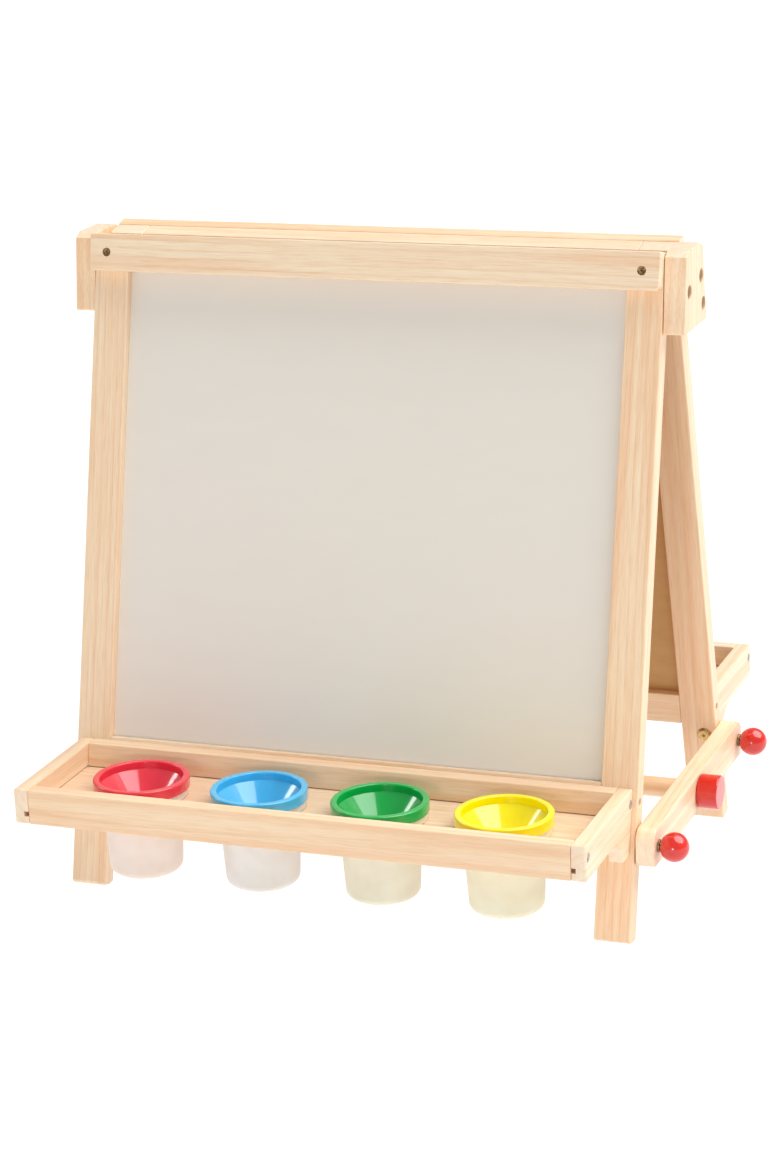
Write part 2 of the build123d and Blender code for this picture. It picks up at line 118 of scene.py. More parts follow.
def rounded(corners: list[tuple[float, float, float]], steps: int = 6) -> list[tuple[float, float]]:
    """Round the corners of an outline.

    Args:
        corners: x, y and rounding radius of each corner, in order; a radius of 0 stays sharp.
        steps: straight pieces in each arc.

    Returns:
        The points of the outline.
    """
    points = []
    for i, (x, y, radius) in enumerate(corners):
        here = Vector((x, y))
        if radius <= 0:
            points.append((x, y))
            continue
        to_last = (Vector(corners[i - 1][:2]) - here).normalized()
        to_next = (Vector(corners[(i + 1) % len(corners)][:2]) - here).normalized()
        half = to_last.angle(to_next) / 2
        centre = here + (to_last + to_next).normalized() * (radius / sin(half))
        start = here + to_last * (radius / tan(half)) - centre
        turn = start.angle_signed(here + to_next * (radius / tan(half)) - centre)
        for step in range(steps + 1):
            arm = start.copy()
            arm.rotate(Matrix.Rotation(-turn * step / steps, 2))
            points.append(tuple(centre + arm))
    return points


def extruded(outline: list[tuple[float, float]], depth: float) -> bmesh.types.BMesh:
    """Extrude an outline in local XY from height 0 to a depth along local Z.

    Args:
        outline: x and y of each corner, in order.
        depth: height of the far end.

    Returns:
        The closed mesh.
    """
    bm = bmesh.new()
    low = [bm.verts.new((x, y, 0)) for x, y in outline]
    high = [bm.verts.new((x, y, depth)) for x, y in outline]
    bm.faces.new(low)
    bm.faces.new(high)
    for i in range(len(outline)):
        j = (i + 1) % len(outline)
        bm.faces.new((low[i], low[j], high[j], high[i]))
    bmesh.ops.recalc_face_normals(bm, faces=bm.faces)
    return bm


def lathed(profile: list[tuple[float, float]], steps: int = 96) -> bmesh.types.BMesh:
    """Turn a closed profile about local Z.

    Args:
        profile: radius and height of each point, in order round the section.
        steps: straight pieces in a full turn.

    Returns:
        The closed turned mesh.
    """
    bm = bmesh.new()
    rings = []
    for radius, height in profile:
        if radius < 1e-6:
            rings.append([bm.verts.new((0, 0, height))] * steps)
            continue
        turns = [2 * pi * i / steps for i in range(steps)]
        rings.append([bm.verts.new((radius * cos(a), radius * sin(a), height)) for a in turns])
    for a, b in zip(rings, rings[1:] + rings[:1]):
        for i in range(steps):
            j = (i + 1) % steps
            corners = list(dict.fromkeys((a[i], a[j], b[j], b[i])))
            if len(corners) > 2:
                bm.faces.new(corners)
    bmesh.ops.recalc_face_normals(bm, faces=bm.faces)
    return bm


def as_object(bm: bmesh.types.BMesh, name: str) -> bpy.types.Object:
    """Turn an edit mesh into an object of the scene.

    Args:
        bm: the edit mesh, which is freed.
        name: name of the object.

    Returns:
        The new object.
    """
    mesh = bpy.data.meshes.new(name)
    bm.to_mesh(mesh)
    bm.free()
    thing = bpy.data.objects.new(name, mesh)
    bpy.context.scene.collection.objects.link(thing)
    return thing


def settle(thing: bpy.types.Object) -> None:
    """Apply an object's modifiers to its mesh.

    Args:
        thing: the object.
    """
    graph = bpy.context.evaluated_depsgraph_get()
    mesh = bpy.data.meshes.new_from_object(thing.evaluated_get(graph), depsgraph=graph)
    thing.modifiers.clear()
    thing.data = mesh


def shape(
    name: str,
    bm: bmesh.types.BMesh,
    edge: float = 0.0,
    cutters: tuple[bmesh.types.BMesh, ...] = (),
    crease: float = CREASE,
) -> bpy.types.Object:
    """Ease the edges of a mesh, cut holes in it and shade it smooth.

    Args:
        name: name of the object.
        bm: the mesh, in local millimetres.
        edge: width of the easing on its edges.
        cutters: meshes taken away from it.
        crease: angle over which an edge stays sharp, in degrees.

    Returns:
        The shaped object, still in local millimetres.
    """
    thing = as_object(bm, name)
    if edge:
        bevel = thing.modifiers.new("eased", "BEVEL")
        bevel.width = edge
        bevel.segments = 3
        bevel.limit_method = "ANGLE"
        bevel.angle_limit = EDGE_ANGLE
        settle(thing)
    for cutter in cutters:
        tool = as_object(cutter, "tool")
        cut = thing.modifiers.new("cut", "BOOLEAN")
        cut.operation = "DIFFERENCE"
        cut.solver = "EXACT"
        cut.object = tool
        settle(thing)
        bpy.data.objects.remove(tool)
    thing.data.shade_smooth()
    thing.data.set_sharp_from_angle(angle=radians(crease))
    weigh = thing.modifiers.new("weigh", "WEIGHTED_NORMAL")
    weigh.keep_sharp = True
    settle(thing)
    return thing


def put(thing: bpy.types.Object, place: Matrix) -> bpy.types.Object:
    """Move a mesh from local millimetres to its place, in metres, and leave its object at the origin.

    Args:
        thing: the object of the mesh.
        place: the frame it was drawn in.

    Returns:
        The same object.
    """
    thing.data.transform(Matrix.Scale(MM, 4) @ place)
    thing.data.update()
    return thing


def copies(name: str, source: bpy.types.Object, places: list[Matrix]) -> bpy.types.Object:
    """Join copies of one mesh, each at its own place, into one object and drop the source.

    Args:
        name: name of the joined object.
        source: the object to copy, in local millimetres.
        places: the frame of each copy.

    Returns:
        The joined object.
    """
    bm = bmesh.new()
    for place in places:
        mesh = source.data.copy()
        mesh.transform(Matrix.Scale(MM, 4) @ place)
        bm.from_mesh(mesh)
        bpy.data.meshes.remove(mesh)
    joined = as_object(bm, name)
    for material in source.data.materials:
        joined.data.materials.append(material)
    joined.data.shade_smooth()
    joined.data.set_sharp_from_angle(angle=radians(CREASE))
    bpy.data.objects.remove(source)
    return joined


def mount(thing: bpy.types.Object, body: str, slot: str, *nodes: str) -> None:
    """Ride a piece on its body and let it stand for its nodes.

    Args:
        thing: the piece.
        body: the body it moves with.
        slot: name of its material slot; not used.
        nodes: the nodes it stands for.
    """
    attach(thing, body)
    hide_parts(*nodes)
    log.info("%s rides on %s and stands for %s", thing.name, body, ", ".join(nodes))


def node(
    tree: bpy.types.NodeTree, kind: str, settings: dict | None = None, **links: bpy.types.NodeSocket
) -> bpy.types.Node:
    """Add a shader node.

    Args:
        tree: the node tree to add it to.
        kind: the node's type name, without the ShaderNode prefix.
        settings: attributes of the node, values of its inputs by number or name, and the stops of a
            colour ramp as positions and sRGB hex colours.
        links: sockets to link to inputs; a key is the input's name with underscores, or i and a number.

    Returns:
        The new node.
    """
    made = tree.nodes.new("ShaderNode" + kind)
    for key, value in (settings or {}).items():
        if key == "stops":
            band = made.color_ramp.elements
            while len(band) < len(value):
                band.new(0.5)
            for element, (position, colour) in zip(band, value):
                element.position = position
                element.color = linear(colour)
        elif isinstance(key, int) or key in made.inputs:
            made.inputs[key].default_value = value
        else:
            setattr(made, key, value)
    for key, socket in links.items():
        number = key[1:]
        target = made.inputs[int(number)] if number.isdigit() else made.inputs[key.replace("_", " ")]
        tree.links.new(socket, target)
    return made


def new_material(name: str) -> tuple[bpy.types.Material, bpy.types.NodeTree, bpy.types.Node]:
    """Make a node material that has only its surface shader.

    Args:
        name: name of the material.

    Returns:
        The material, its node tree and its surface shader.
    """
    material = bpy.data.materials.new(name)
    material.use_nodes = True
    tree = material.node_tree
    return material, tree, tree.nodes["Principled BSDF"]


def set_inputs(surface: bpy.types.Node, values: dict[str, float | tuple[float, ...]]) -> None:
    """Set the surface shader's own sockets to values that are the same all over.

    Args:
        surface: the shader.
        values: the value of each socket, by its name.
    """
    for name, value in values.items():
        surface.inputs[name].default_value = value


def per_mm(*lengths: float) -> tuple[float, ...]:
    """Scale of a pattern that has these lengths along its axes, in millimetres."""
    return tuple(1 / length for length in lengths)


def dress(
    tree: bpy.types.NodeTree,
    surface: bpy.types.Node,
    colour: bpy.types.NodeSocket,
    wear: bpy.types.NodeSocket,
    roughness: tuple[float, float],
    height: bpy.types.NodeSocket,
    relief: tuple[float, float],
) -> None:
    """Give a surface shader its colour, its range of roughness and a fine relief.

    Args:
        tree: the node tree it is in.
        surface: the shader.
        colour: the colour over the piece.
        wear: a value from 0 to 1 that the roughness follows.
        roughness: the roughness where that is 0, and where it is 1.
        height: what the relief follows.
        relief: its strength, and its depth in metres.
    """
    tree.links.new(colour, surface.inputs["Base Color"])
    rough = node(tree, "MapRange", {3: roughness[0], 4: roughness[1]}, i0=wear)
    tree.links.new(rough.outputs[0], surface.inputs["Roughness"])
    bump = node(tree, "Bump", {"Strength": relief[0], "Distance": relief[1]}, Height=height)
    tree.links.new(bump.outputs[0], surface.inputs["Normal"])


# ---------------------------------------------------------------------------------------------
# Finishes
# ---------------------------------------------------------------------------------------------


@dataclass(frozen=True)
class LacqueredPine:
    """Pine, sanded along the grain and brushed with two coats of clear satin lacquer.

    Pale bands of early wood run into thin tan lines of late wood, ring by ring, under a soft even shine.
    """

    early_wood: str = "#FAEAD2"
    mid_wood: str = "#F7E0C1"
    late_wood: str = "#E8C497"
    warm_board: str = "#FFF4E9"      # what the redder boards are multiplied by
    pink_streak: str = "#FBEDE4"     # and the redder streaks within a board
    end_wood: str = "#F1E9D8"        # sanded end grain scatters light and looks paler and greyer
    end_veil: float = 0.36           # how far it does
    wobble: float = 3.4              # how far a ring strays from a circle, mm
    wobble_length: float = 260.0     # over this length, mm
    wobble_width: float = 30.0       # and this width, mm
    fibre: float = 0.8               # real fibres are 0.04 mm wide: drawn coarser so that they show
    fibre_length: float = 22.0
    fibre_shade: str = "#F0E4D8"     # what the darkest fibres are multiplied by
    patch: tuple[float, float, float] = (90.0, 14.0, 14.0)   # where the late wood shows more, mm
    faintest: float = 0.05           # share of the late wood's colour where it shows least
    strongest: float = 0.55          # and where it shows most
    lane: tuple[float, float, float] = (300.0, 8.0, 8.0)     # size of a redder streak, mm
    roughness: tuple[float, float] = (0.36, 0.50)            # between the fibres and on them
    relief: tuple[float, float] = (0.12, 0.0003)             # strength, and depth in metres

    def make(self) -> bpy.types.Material:
        """Build the material, which reads each board's grain and board attributes.

        Returns:
            The new material.
        """
        material, tree, surface = new_material("lacquered pine, sanded and brushed")
        grain = node(tree, "Attribute", {"attribute_name": "grain"}).outputs["Vector"]
        board = node(tree, "Attribute", {"attribute_name": "board"}).outputs["Vector"]
        tone, spacing, end = node(tree, "SeparateXYZ", i0=board).outputs
        slow_scale = per_mm(self.wobble_length, self.wobble_width, self.wobble_width)
        slow = node(tree, "VectorMath", {"operation": "MULTIPLY", 1: slow_scale}, i0=grain).outputs[0]
        bends = node(tree, "TexNoise", {"Scale": 1.0, "Detail": 2.0}, Vector=slow).outputs[0]
        stray = node(tree, "MapRange", {3: -self.wobble, 4: self.wobble}, i0=bends)
        flat = node(tree, "VectorMath", {"operation": "MULTIPLY", 1: (0, 1, 1)}, i0=grain)
        radius = node(tree, "VectorMath", {"operation": "LENGTH"}, i0=flat.outputs[0])
        strayed = node(tree, "Math", {"operation": "ADD"}, i0=radius.outputs["Value"], i1=stray.outputs[0])
        rings = node(tree, "Math", {"operation": "DIVIDE"}, i0=strayed.outputs[0], i1=spacing)
        phase = node(tree, "Math", {"operation": "FRACT"}, i0=rings.outputs[0])
        ring = [
            (0.0, self.early_wood),
            (0.30, self.early_wood),
            (0.70, self.mid_wood),
            (0.92, self.late_wood),
            (1.0, self.early_wood),
        ]
        band = node(tree, "ValToRGB", {"stops": ring}, i0=phase.outputs[0])
        patch = node(tree, "VectorMath", {"operation": "MULTIPLY", 1: per_mm(*self.patch)}, i0=grain)
        patches = node(tree, "TexNoise", {"Scale": 1.0, "Detail": 1.0}, Vector=patch.outputs[0]).outputs[0]
        share = node(tree, "MapRange", {1: 0.3, 2: 0.7, 3: self.faintest, 4: self.strongest}, i0=patches)
        mid = {"data_type": "RGBA", 6: linear(self.mid_wood)}
        bands = node(tree, "Mix", mid, i0=share.outputs[0], i7=band.outputs[0])
        fine_scale = per_mm(self.fibre_length, self.fibre, self.fibre)
        fine = node(tree, "VectorMath", {"operation": "MULTIPLY", 1: fine_scale}, i0=grain).outputs[0]
        rough_noise = {"Scale": 1.0, "Detail": 3.0, "Roughness": 0.6}
        fibres = node(tree, "TexNoise", rough_noise, Vector=fine).outputs[0]
        streak = node(tree, "ValToRGB", {"stops": [(0.25, self.fibre_shade), (0.55, "#FFFFFF")]}, i0=fibres)
        fibred = node(
            tree,
            "Mix",
            {"data_type": "RGBA", "blend_type": "MULTIPLY", 0: 0.8},
            i6=bands.outputs[2],
            i7=streak.outputs[0],
        )
        lane = node(tree, "VectorMath", {"operation": "MULTIPLY", 1: per_mm(*self.lane)}, i0=grain)
        lanes = node(tree, "TexNoise", {"Scale": 1.0, "Detail": 2.0}, Vector=lane.outputs[0]).outputs[0]
        multiply = {"data_type": "RGBA", "blend_type": "MULTIPLY"}
        streaked = node(
            tree,
            "Mix",
            multiply | {7: linear(self.pink_streak)},
            i0=node(tree, "MapRange", {1: 0.4, 2: 0.65}, i0=lanes).outputs[0],
            i6=fibred.outputs[2],
        )
        toned = node(tree, "Mix", multiply | {7: linear(self.warm_board)}, i0=tone, i6=streaked.outputs[2])
        ended = node(
            tree,
            "Mix",
            {"data_type": "RGBA", 7: linear(self.end_wood)},
            i0=node(tree, "Math", {"operation": "MULTIPLY", 1: self.end_veil}, i0=end).outputs[0],
            i6=toned.outputs[2],
        )
        height = node(tree, "Math", {"operation": "ADD"}, i0=fibres, i1=phase.outputs[0]).outputs[0]
        dress(tree, surface, ended.outputs[2], fibres, self.roughness, height, self.relief)
        set_inputs(surface, {"IOR": 1.5, "Coat Weight": 0.2, "Coat Roughness": 0.25})
        return material


@dataclass(frozen=True)
class SandedPlywood:
    """Three-ply sheet with pale rotary-cut veneers, sanded and lacquered with the frames.

    Its faces have broad, lazy streaks, and a cut edge shows the middle ply as a darker line.
    """

    veneer: str = "#F5DCC0"
    streak: str = "#E9C6A0"
    core: str = "#C99A6A"
    streak_width: float = 5.0
    streak_length: float = 160.0
    streak_depth: float = 100.0
    fibre: float = 0.9               # coarser than real fibres so that it shows
    fibre_length: float = 15.0
    fibre_shade: str = "#F1E6DA"     # what the darkest fibres are multiplied by
    roughness: tuple[float, float] = (0.40, 0.55)
    relief: tuple[float, float] = (0.1, 0.0003)      # strength, and depth in metres

    def make(self) -> bpy.types.Material:
        """Build the material, which reads the sheet's grain and board attributes.

        Returns:
            The new material.
        """
        material, tree, surface = new_material("pale three-ply, rotary cut and sanded")
        grain = node(tree, "Attribute", {"attribute_name": "grain"}).outputs["Vector"]
        wide_scale = per_mm(self.streak_length, self.streak_width, self.streak_depth)
        wide = node(tree, "VectorMath", {"operation": "MULTIPLY", 1: wide_scale}, i0=grain).outputs[0]
        lazy = {"Scale": 1.0, "Detail": 3.0, "Distortion": 0.6}
        streaks = node(tree, "TexNoise", lazy, Vector=wide).outputs[0]
        face = node(tree, "ValToRGB", {"stops": [(0.35, self.veneer), (0.7, self.streak)]}, i0=streaks)
        fine_scale = per_mm(self.fibre_length, self.fibre, self.fibre)
        fine = node(tree, "VectorMath", {"operation": "MULTIPLY", 1: fine_scale}, i0=grain).outputs[0]
        fibres = node(tree, "TexNoise", {"Scale": 1.0, "Detail": 2.0}, Vector=fine).outputs[0]
        soft = node(tree, "ValToRGB", {"stops": [(0.3, self.fibre_shade), (0.6, "#FFFFFF")]}, i0=fibres)
        faced = node(
            tree,
            "Mix",
            {"data_type": "RGBA", "blend_type": "MULTIPLY", 0: 0.8},
            i6=face.outputs[0],
            i7=soft.outputs[0],
        )
        depth = node(tree, "SeparateXYZ", i0=grain).outputs[2]
        off_middle = node(tree, "Math", {"operation": "ABSOLUTE"}, i0=depth)
        ply = node(tree, "MapRange", {1: 0.55, 2: 0.65, 3: 0.9, 4: 0.0}, i0=off_middle.outputs[0])
        core = {"data_type": "RGBA", 7: linear(self.core)}
        whole = node(tree, "Mix", core, i0=ply.outputs[0], i6=faced.outputs[2])
        dress(tree, surface, whole.outputs[2], fibres, self.roughness, fibres, self.relief)
        set_inputs(surface, {"IOR": 1.5})
        return material


@dataclass(frozen=True)
class CoatedSheet:
    """A roller-coated sheet: a smooth even film with a trace of roller texture and old wiping."""

    title: str
    colour: str
    smear: str
    roughness: tuple[float, float]
    smear_size: float                # width of a wiped patch, mm
    texture_size: float              # roller texture, mm
    bump: float
    film_depth: float = 0.0002       # depth of that texture, in metres
    smear_run: float = 0.35          # a smear's width as a share of its length

    def make(self) -> bpy.types.Material:
        """Build the material from the sheet's own coordinates.

        Returns:
            The new material.
        """
        material, tree, surface = new_material(self.title)
        place = node(tree, "NewGeometry").outputs["Position"]
        wide = node(tree, "VectorMath", {"operation": "MULTIPLY", 1: (self.smear_run, 1.0, 1.0)}, i0=place)
        smear = {"Scale": 1 / (self.smear_size * MM), "Detail": 5.0}
        wiped = node(tree, "TexNoise", smear, Vector=wide.outputs[0]).outputs[0]
        film = node(tree, "ValToRGB", {"stops": [(0.2, self.colour), (0.8, self.smear)]}, i0=wiped)
        texture = {"Scale": 1 / (self.texture_size * MM), "Detail": 2.0}
        skin = node(tree, "TexNoise", texture, Vector=place).outputs[0]
        dress(tree, surface, film.outputs[0], wiped, self.roughness, skin, (self.bump, self.film_depth))
        set_inputs(surface, {"IOR": 1.5})
        return material


DRY_WIPE = CoatedSheet(
    # Melamine film on hardboard: off-white, nearly even, with a low gloss.
    "dry-wipe melamine, roller coated", "#E9E2D8", "#E7E0D6", (0.25, 0.28), 14.0, 1.5, 0.03,
)
CHALK_FACE = CoatedSheet(
    # Mineral-filled chalkboard paint: matt grey-black with a haze of wiped chalk.
    "chalkboard paint, rolled and wiped", "#2F3431", "#474C49", (0.78, 0.92), 70.0, 0.9, 0.25,
)
HARDBOARD = CoatedSheet(
    # Bare back of pressed fibre board: plain brown, with a coarse screen texture.
    "hardboard, pressed fibre", "#CDA26C", "#C4975F", (0.62, 0.78), 9.0, 1.3, 0.4,
)


@dataclass(frozen=True)
class GlossRedPaint:
    """Turned beech, dipped in gloss red enamel: a deep even colour under a thick wet-looking coat."""

    colour: str = "#DE2D22"
    shade: str = "#CC231C"
    cloud_size: float = 9.0          # where the colour lies thicker, mm
    skin_size: float = 3.0           # long waves where the dip ran, mm
    roughness: tuple[float, float] = (0.16, 0.24)
    relief: tuple[float, float] = (0.08, 0.0002)     # strength, and depth in metres

    def make(self) -> bpy.types.Material:
        """Build the material.

        Returns:
            The new material.
        """
        material, tree, surface = new_material("gloss red enamel on turned beech, dipped")
        place = node(tree, "NewGeometry").outputs["Position"]
        cloud = {"Scale": 1 / (self.cloud_size * MM), "Detail": 2.0}
        clouds = node(tree, "TexNoise", cloud, Vector=place).outputs[0]
        colour = node(tree, "ValToRGB", {"stops": [(0.3, self.colour), (0.8, self.shade)]}, i0=clouds)
        wave = {"Scale": 1 / (self.skin_size * MM), "Detail": 1.0}
        skin = node(tree, "TexNoise", wave, Vector=place).outputs[0]
        dress(tree, surface, colour.outputs[0], skin, self.roughness, skin, self.relief)
        set_inputs(surface, {"IOR": 1.5, "Coat Weight": 0.6, "Coat Roughness": 0.08})
        return material


@dataclass(frozen=True)
class DrawnMetal:
    """Metal hardware with the fine marks of its heading, turning or tumbling."""

    title: str
    colour: str
    tarnish: str
    roughness: tuple[float, float]
    spot_size: float = 1.6           # patches of tarnish, mm
    mark_size: float = 0.5           # tool marks, drawn coarser than real so that they show, mm
    relief: tuple[float, float] = (0.1, 0.0001)      # strength, and depth in metres

    def make(self) -> bpy.types.Material:
        """Build the material.

        Returns:
            The new material.
        """
        material, tree, surface = new_material(self.title)
        place = node(tree, "NewGeometry").outputs["Position"]
        spot = {"Scale": 1 / (self.spot_size * MM), "Detail": 4.0}
        spots = node(tree, "TexNoise", spot, Vector=place).outputs[0]
        colour = node(tree, "ValToRGB", {"stops": [(0.35, self.colour), (0.75, self.tarnish)]}, i0=spots)
        mark = {"Scale": 1 / (self.mark_size * MM), "Detail": 2.0}
        marks = node(tree, "TexNoise", mark, Vector=place).outputs[0]
        dress(tree, surface, colour.outputs[0], spots, self.roughness, marks, self.relief)
        set_inputs(surface, {"Metallic": 1.0})
        return material


ZINC_STEEL = DrawnMetal(
    # Cold-headed steel in bright zinc: a cool grey with slightly milky spots.
    "zinc-plated steel, cold headed", "#C4C3BE", "#9C9A95", (0.28, 0.42),
)
BRASS = DrawnMetal(
    # Turned brass left bare: yellow-brown, duller in patches.
    "brass, turned and tarnished", "#E0C189", "#B8935A", (0.26, 0.40),
)
BRASSED_STEEL = DrawnMetal(
    # Steel screws with an antique brass plating: a dark brown-gold.
    "antique brass plate on steel", "#B2926A", "#6B5236", (0.30, 0.44),
)


@dataclass(frozen=True)
class CupPlastic:
    """Natural polypropylene, injection moulded thin: milky, letting a soft light through its wall."""

    title: str
    # the cup's colour: its own milky tone, and a painted tint of the light its lid throws on it
    colour: str
    swirl_size: float = 25.0         # faint flow clouds in the wall, mm
    skin_size: float = 0.8           # fine texture of the mould, mm
    roughness: tuple[float, float] = (0.42, 0.5)
    relief: tuple[float, float] = (0.05, 0.0001)     # strength, and depth in metres

    def make(self) -> bpy.types.Material:
        """Build the material.

        Returns:
            The new material.
        """
        material, tree, surface = new_material("natural polypropylene, moulded, " + self.title)
        place = node(tree, "NewGeometry").outputs["Position"]
        flow = {"Scale": 1 / (self.swirl_size * MM), "Detail": 2.0}
        swirl = node(tree, "TexNoise", flow, Vector=place).outputs[0]
        cloud = node(tree, "ValToRGB", {"stops": [(0.35, "#FFFFFF"), (0.7, "#F6F4F1")]}, i0=swirl)
        # the flow clouds times that colour, which carries the painted tint of the lid's light
        colour = node(
            tree,
            "Mix",
            {"data_type": "RGBA", "blend_type": "MULTIPLY", 0: 1.0, 7: linear(self.colour)},
            i6=cloud.outputs[0],
        )
        texture = {"Scale": 1 / (self.skin_size * MM), "Detail": 2.0}
        skin = node(tree, "TexNoise", texture, Vector=place).outputs[0]
        dress(tree, surface, colour.outputs[2], skin, self.roughness, skin, self.relief)
        set_inputs(
            surface,
            {
                "IOR": 1.49,
                "Transmission Weight": 0.05,
                "Subsurface Weight": 0.5,
                "Subsurface Radius": (1.0, 0.8, 0.7),
                "Subsurface Scale": 0.004,
            },
        )
        return material


@dataclass(frozen=True)
class LidPlastic:
    """Low-density polyethylene, injection moulded in a polished mould: bright, smooth and glossy."""

    title: str
    colour: str
    shade: str
    cloud_size: float = 12.0         # faint clouds of pigment, mm
    skin_size: float = 0.8           # fine texture of the mould, mm
    roughness: tuple[float, float] = (0.12, 0.18)
    relief: tuple[float, float] = (0.04, 0.0001)     # strength, and depth in metres

    def make(self) -> bpy.types.Material:
        """Build the material.

        Returns:
            The new material.
        """
        material, tree, surface = new_material("polyethylene, moulded, " + self.title)
        place = node(tree, "NewGeometry").outputs["Position"]
        cloud = {"Scale": 1 / (self.cloud_size * MM), "Detail": 2.0}
        clouds = node(tree, "TexNoise", cloud, Vector=place).outputs[0]
        colour = node(tree, "ValToRGB", {"stops": [(0.3, self.colour), (0.85, self.shade)]}, i0=clouds)
        texture = {"Scale": 1 / (self.skin_size * MM), "Detail": 2.0}
        skin = node(tree, "TexNoise", texture, Vector=place).outputs[0]
        dress(tree, surface, colour.outputs[0], skin, self.roughness, skin, self.relief)
        set_inputs(
            surface,
            {
                "IOR": 1.51,
                "Coat Weight": 0.5,
                "Coat Roughness": 0.06,
                "Subsurface Weight": 0.08,
                "Subsurface Radius": (1.0, 1.0, 1.0),
                "Subsurface Scale": 0.002,
            },
        )
        return material


class PaintColour(Enum):
    """The four paints, with their lid, its shade and the cup's colour, partly its own and partly a painted
    tint of the lid's light.
    """

    # the last colour is the cup's: its own tone, and a painted tint of its lid's light
    RED = ("red", "#F03E50", "#E9374A", "#FFE8DD")
    BLUE = ("blue", "#4CC0F2", "#46B9EB", "#F3EBE5")
    GREEN = ("green", "#0AB350", "#08AA4A", "#F5ECD5")
    YELLOW = ("yellow", "#FFEF00", "#FBE800", "#FFF2D4")

    @property
    def title(self) -> str:
        """The colour's plain name."""
        return self.value[0]

    def lid(self) -> bpy.types.Material:
        """Build the lid's material."""
        return LidPlastic(self.title, self.value[1], self.value[2]).make()

    def cup(self) -> bpy.types.Material:
        """Build the cup's material."""
        return CupPlastic(self.title, self.value[3]).make()


@dataclass
class Finishes:
    """The materials that several sub-assemblies share, each built once."""

    pine: bpy.types.Material = field(default_factory=lambda: LacqueredPine().make())
    plywood: bpy.types.Material = field(default_factory=lambda: SandedPlywood().make())
    dry_wipe: bpy.types.Material = field(default_factory=DRY_WIPE.make)
    chalk_face: bpy.types.Material = field(default_factory=CHALK_FACE.make)
    hardboard: bpy.types.Material = field(default_factory=HARDBOARD.make)
    red: bpy.types.Material = field(default_factory=lambda: GlossRedPaint().make())
    zinc: bpy.types.Material = field(default_factory=ZINC_STEEL.make)
    brass: bpy.types.Material = field(default_factory=BRASS.make)
    dark_brass: bpy.types.Material = field(default_factory=BRASSED_STEEL.make)


# ---------------------------------------------------------------------------------------------
# Timber and screws
# ---------------------------------------------------------------------------------------------


class Cut(Enum):
    """How a board was sawn, by where its log's pith lies from its middle, in millimetres."""

    QUARTER = (70.0, 8.0)
    RIFT = (48.0, 40.0)
    FLAT = (6.0, 42.0)


@dataclass(frozen=True)
class Sawing:
    """One board's place in its log."""

    across: float
    depth: float
    wander: tuple[float, float]      # how far the pith drifts per millimetre of board
    spacing: float
    tone: float
    start: float                     # distance along the log, so that no two boards match

    @staticmethod
    def of(cut: Cut, number: int) -> "Sawing":
        """Choose a board from the timber pile.

        Args:
            cut: how the board was sawn.
            number: the board's number, which settles everything else.

        Returns:
            The board's place in its log.
        """
        pick = np.random.default_rng(TIMBER_PILE + number)
        signs = pick.choice((-1, 1), 2)
        across, depth = cut.value
        drift = 0.035 if cut is Cut.FLAT else 0.012
        return Sawing(
            across=float(signs[0] * across * pick.uniform(0.7, 1.3)),
            depth=float(signs[1] * depth * pick.uniform(0.7, 1.3)),
            wander=(float(pick.uniform(-0.01, 0.01)), float(pick.uniform(-drift, drift))),
            spacing=float(pick.uniform(4.2, 7.2)),
            tone=float(pick.uniform(0.0, 1.0)),
            start=float(number * BOARD_STEP),
        )


def mark_grain(thing: bpy.types.Object, place: Matrix, axes: tuple[int, int, int], sawing: Sawing) -> None:
    """Write where each point of a board lay in its log, for the timber finishes to read.

    Args:
        thing: the board, in the easel's millimetres.
        place: the board's own frame.
        axes: which of that frame's axes run along the grain, across it, and through the thickness.
        sawing: the board's place in its log.
    """
    mesh = thing.data
    points = np.empty(len(mesh.vertices) * 3, np.float32)
    mesh.vertices.foreach_get("co", points)
    back = np.array(place.inverted())
    local = points.reshape(-1, 3) @ back[:3, :3].T + back[:3, 3]
    local = (local - (local.max(0) + local.min(0)) / 2)[:, list(axes)]
    along = local[:, 0].copy()
    local[:, 0] += sawing.start
    local[:, 1] -= sawing.across + sawing.wander[0] * along
    local[:, 2] -= sawing.depth + sawing.wander[1] * along
    grain = mesh.attributes.new("grain", "FLOAT_VECTOR", "POINT")
    grain.data.foreach_set("vector", local.astype(np.float32).ravel())
    direction = place.to_3x3().col[axes[0]]
    rows = [(sawing.tone, sawing.spacing, float(abs(f.normal.dot(direction)) > 0.8)) for f in mesh.polygons]
    board = mesh.attributes.new("board", "FLOAT_VECTOR", "FACE")
    board.data.foreach_set("vector", np.array(rows, np.float32).ravel())


@dataclass
class Board:
    """One piece of timber or sheet, outlined in its own XY plane and as thick as its Z."""

    name: str
    place: Matrix
    outline: list[tuple[float, float]]
    thickness: float
    axes: tuple[int, int, int]       # its own axes along the grain, across it and through it
    sawing: Sawing
    edge: float = 0.9                # rounding of the long edges
    end_edge: float = 0.45           # rounding of the edges of its ends
    cutters: list[bmesh.types.BMesh] = field(default_factory=list)

    def make(self, *materials: bpy.types.Material) -> bpy.types.Object:
        """Shape the board, cut it, mark its grain and dress it.

        Args:
            materials: its finish, and any others that later go on some of its faces.

        Returns:
            The finished board in its place.
        """
        bm = extruded(self.outline, self.thickness)
        self._weigh_edges(bm)
        bm.transform(self.place)
        thing = shape(self.name, bm, self.edge, tuple(self.cutters))
        mark_grain(thing, self.place, self.axes, self.sawing)
        for material in materials:
            thing.data.materials.append(material)
        return put(thing, Matrix.Identity(4))

    def _weigh_edges(self, bm: bmesh.types.BMesh) -> None:
        """Ease the edges of the two ends less than the rest.

        Args:
            bm: the board's mesh, in its own frame.
        """
        weights = bm.edges.layers.float.new("bevel_weight_edge")
        along = self.axes[0]
        for edge in bm.edges:
            if edge.calc_face_angle(0.0) < EDGE_ANGLE:
                continue
            run = (edge.verts[1].co - edge.verts[0].co).normalized()
            at_end = abs(run[along]) < 0.5
            edge[weights] = self.end_edge / self.edge if at_end else 1.0


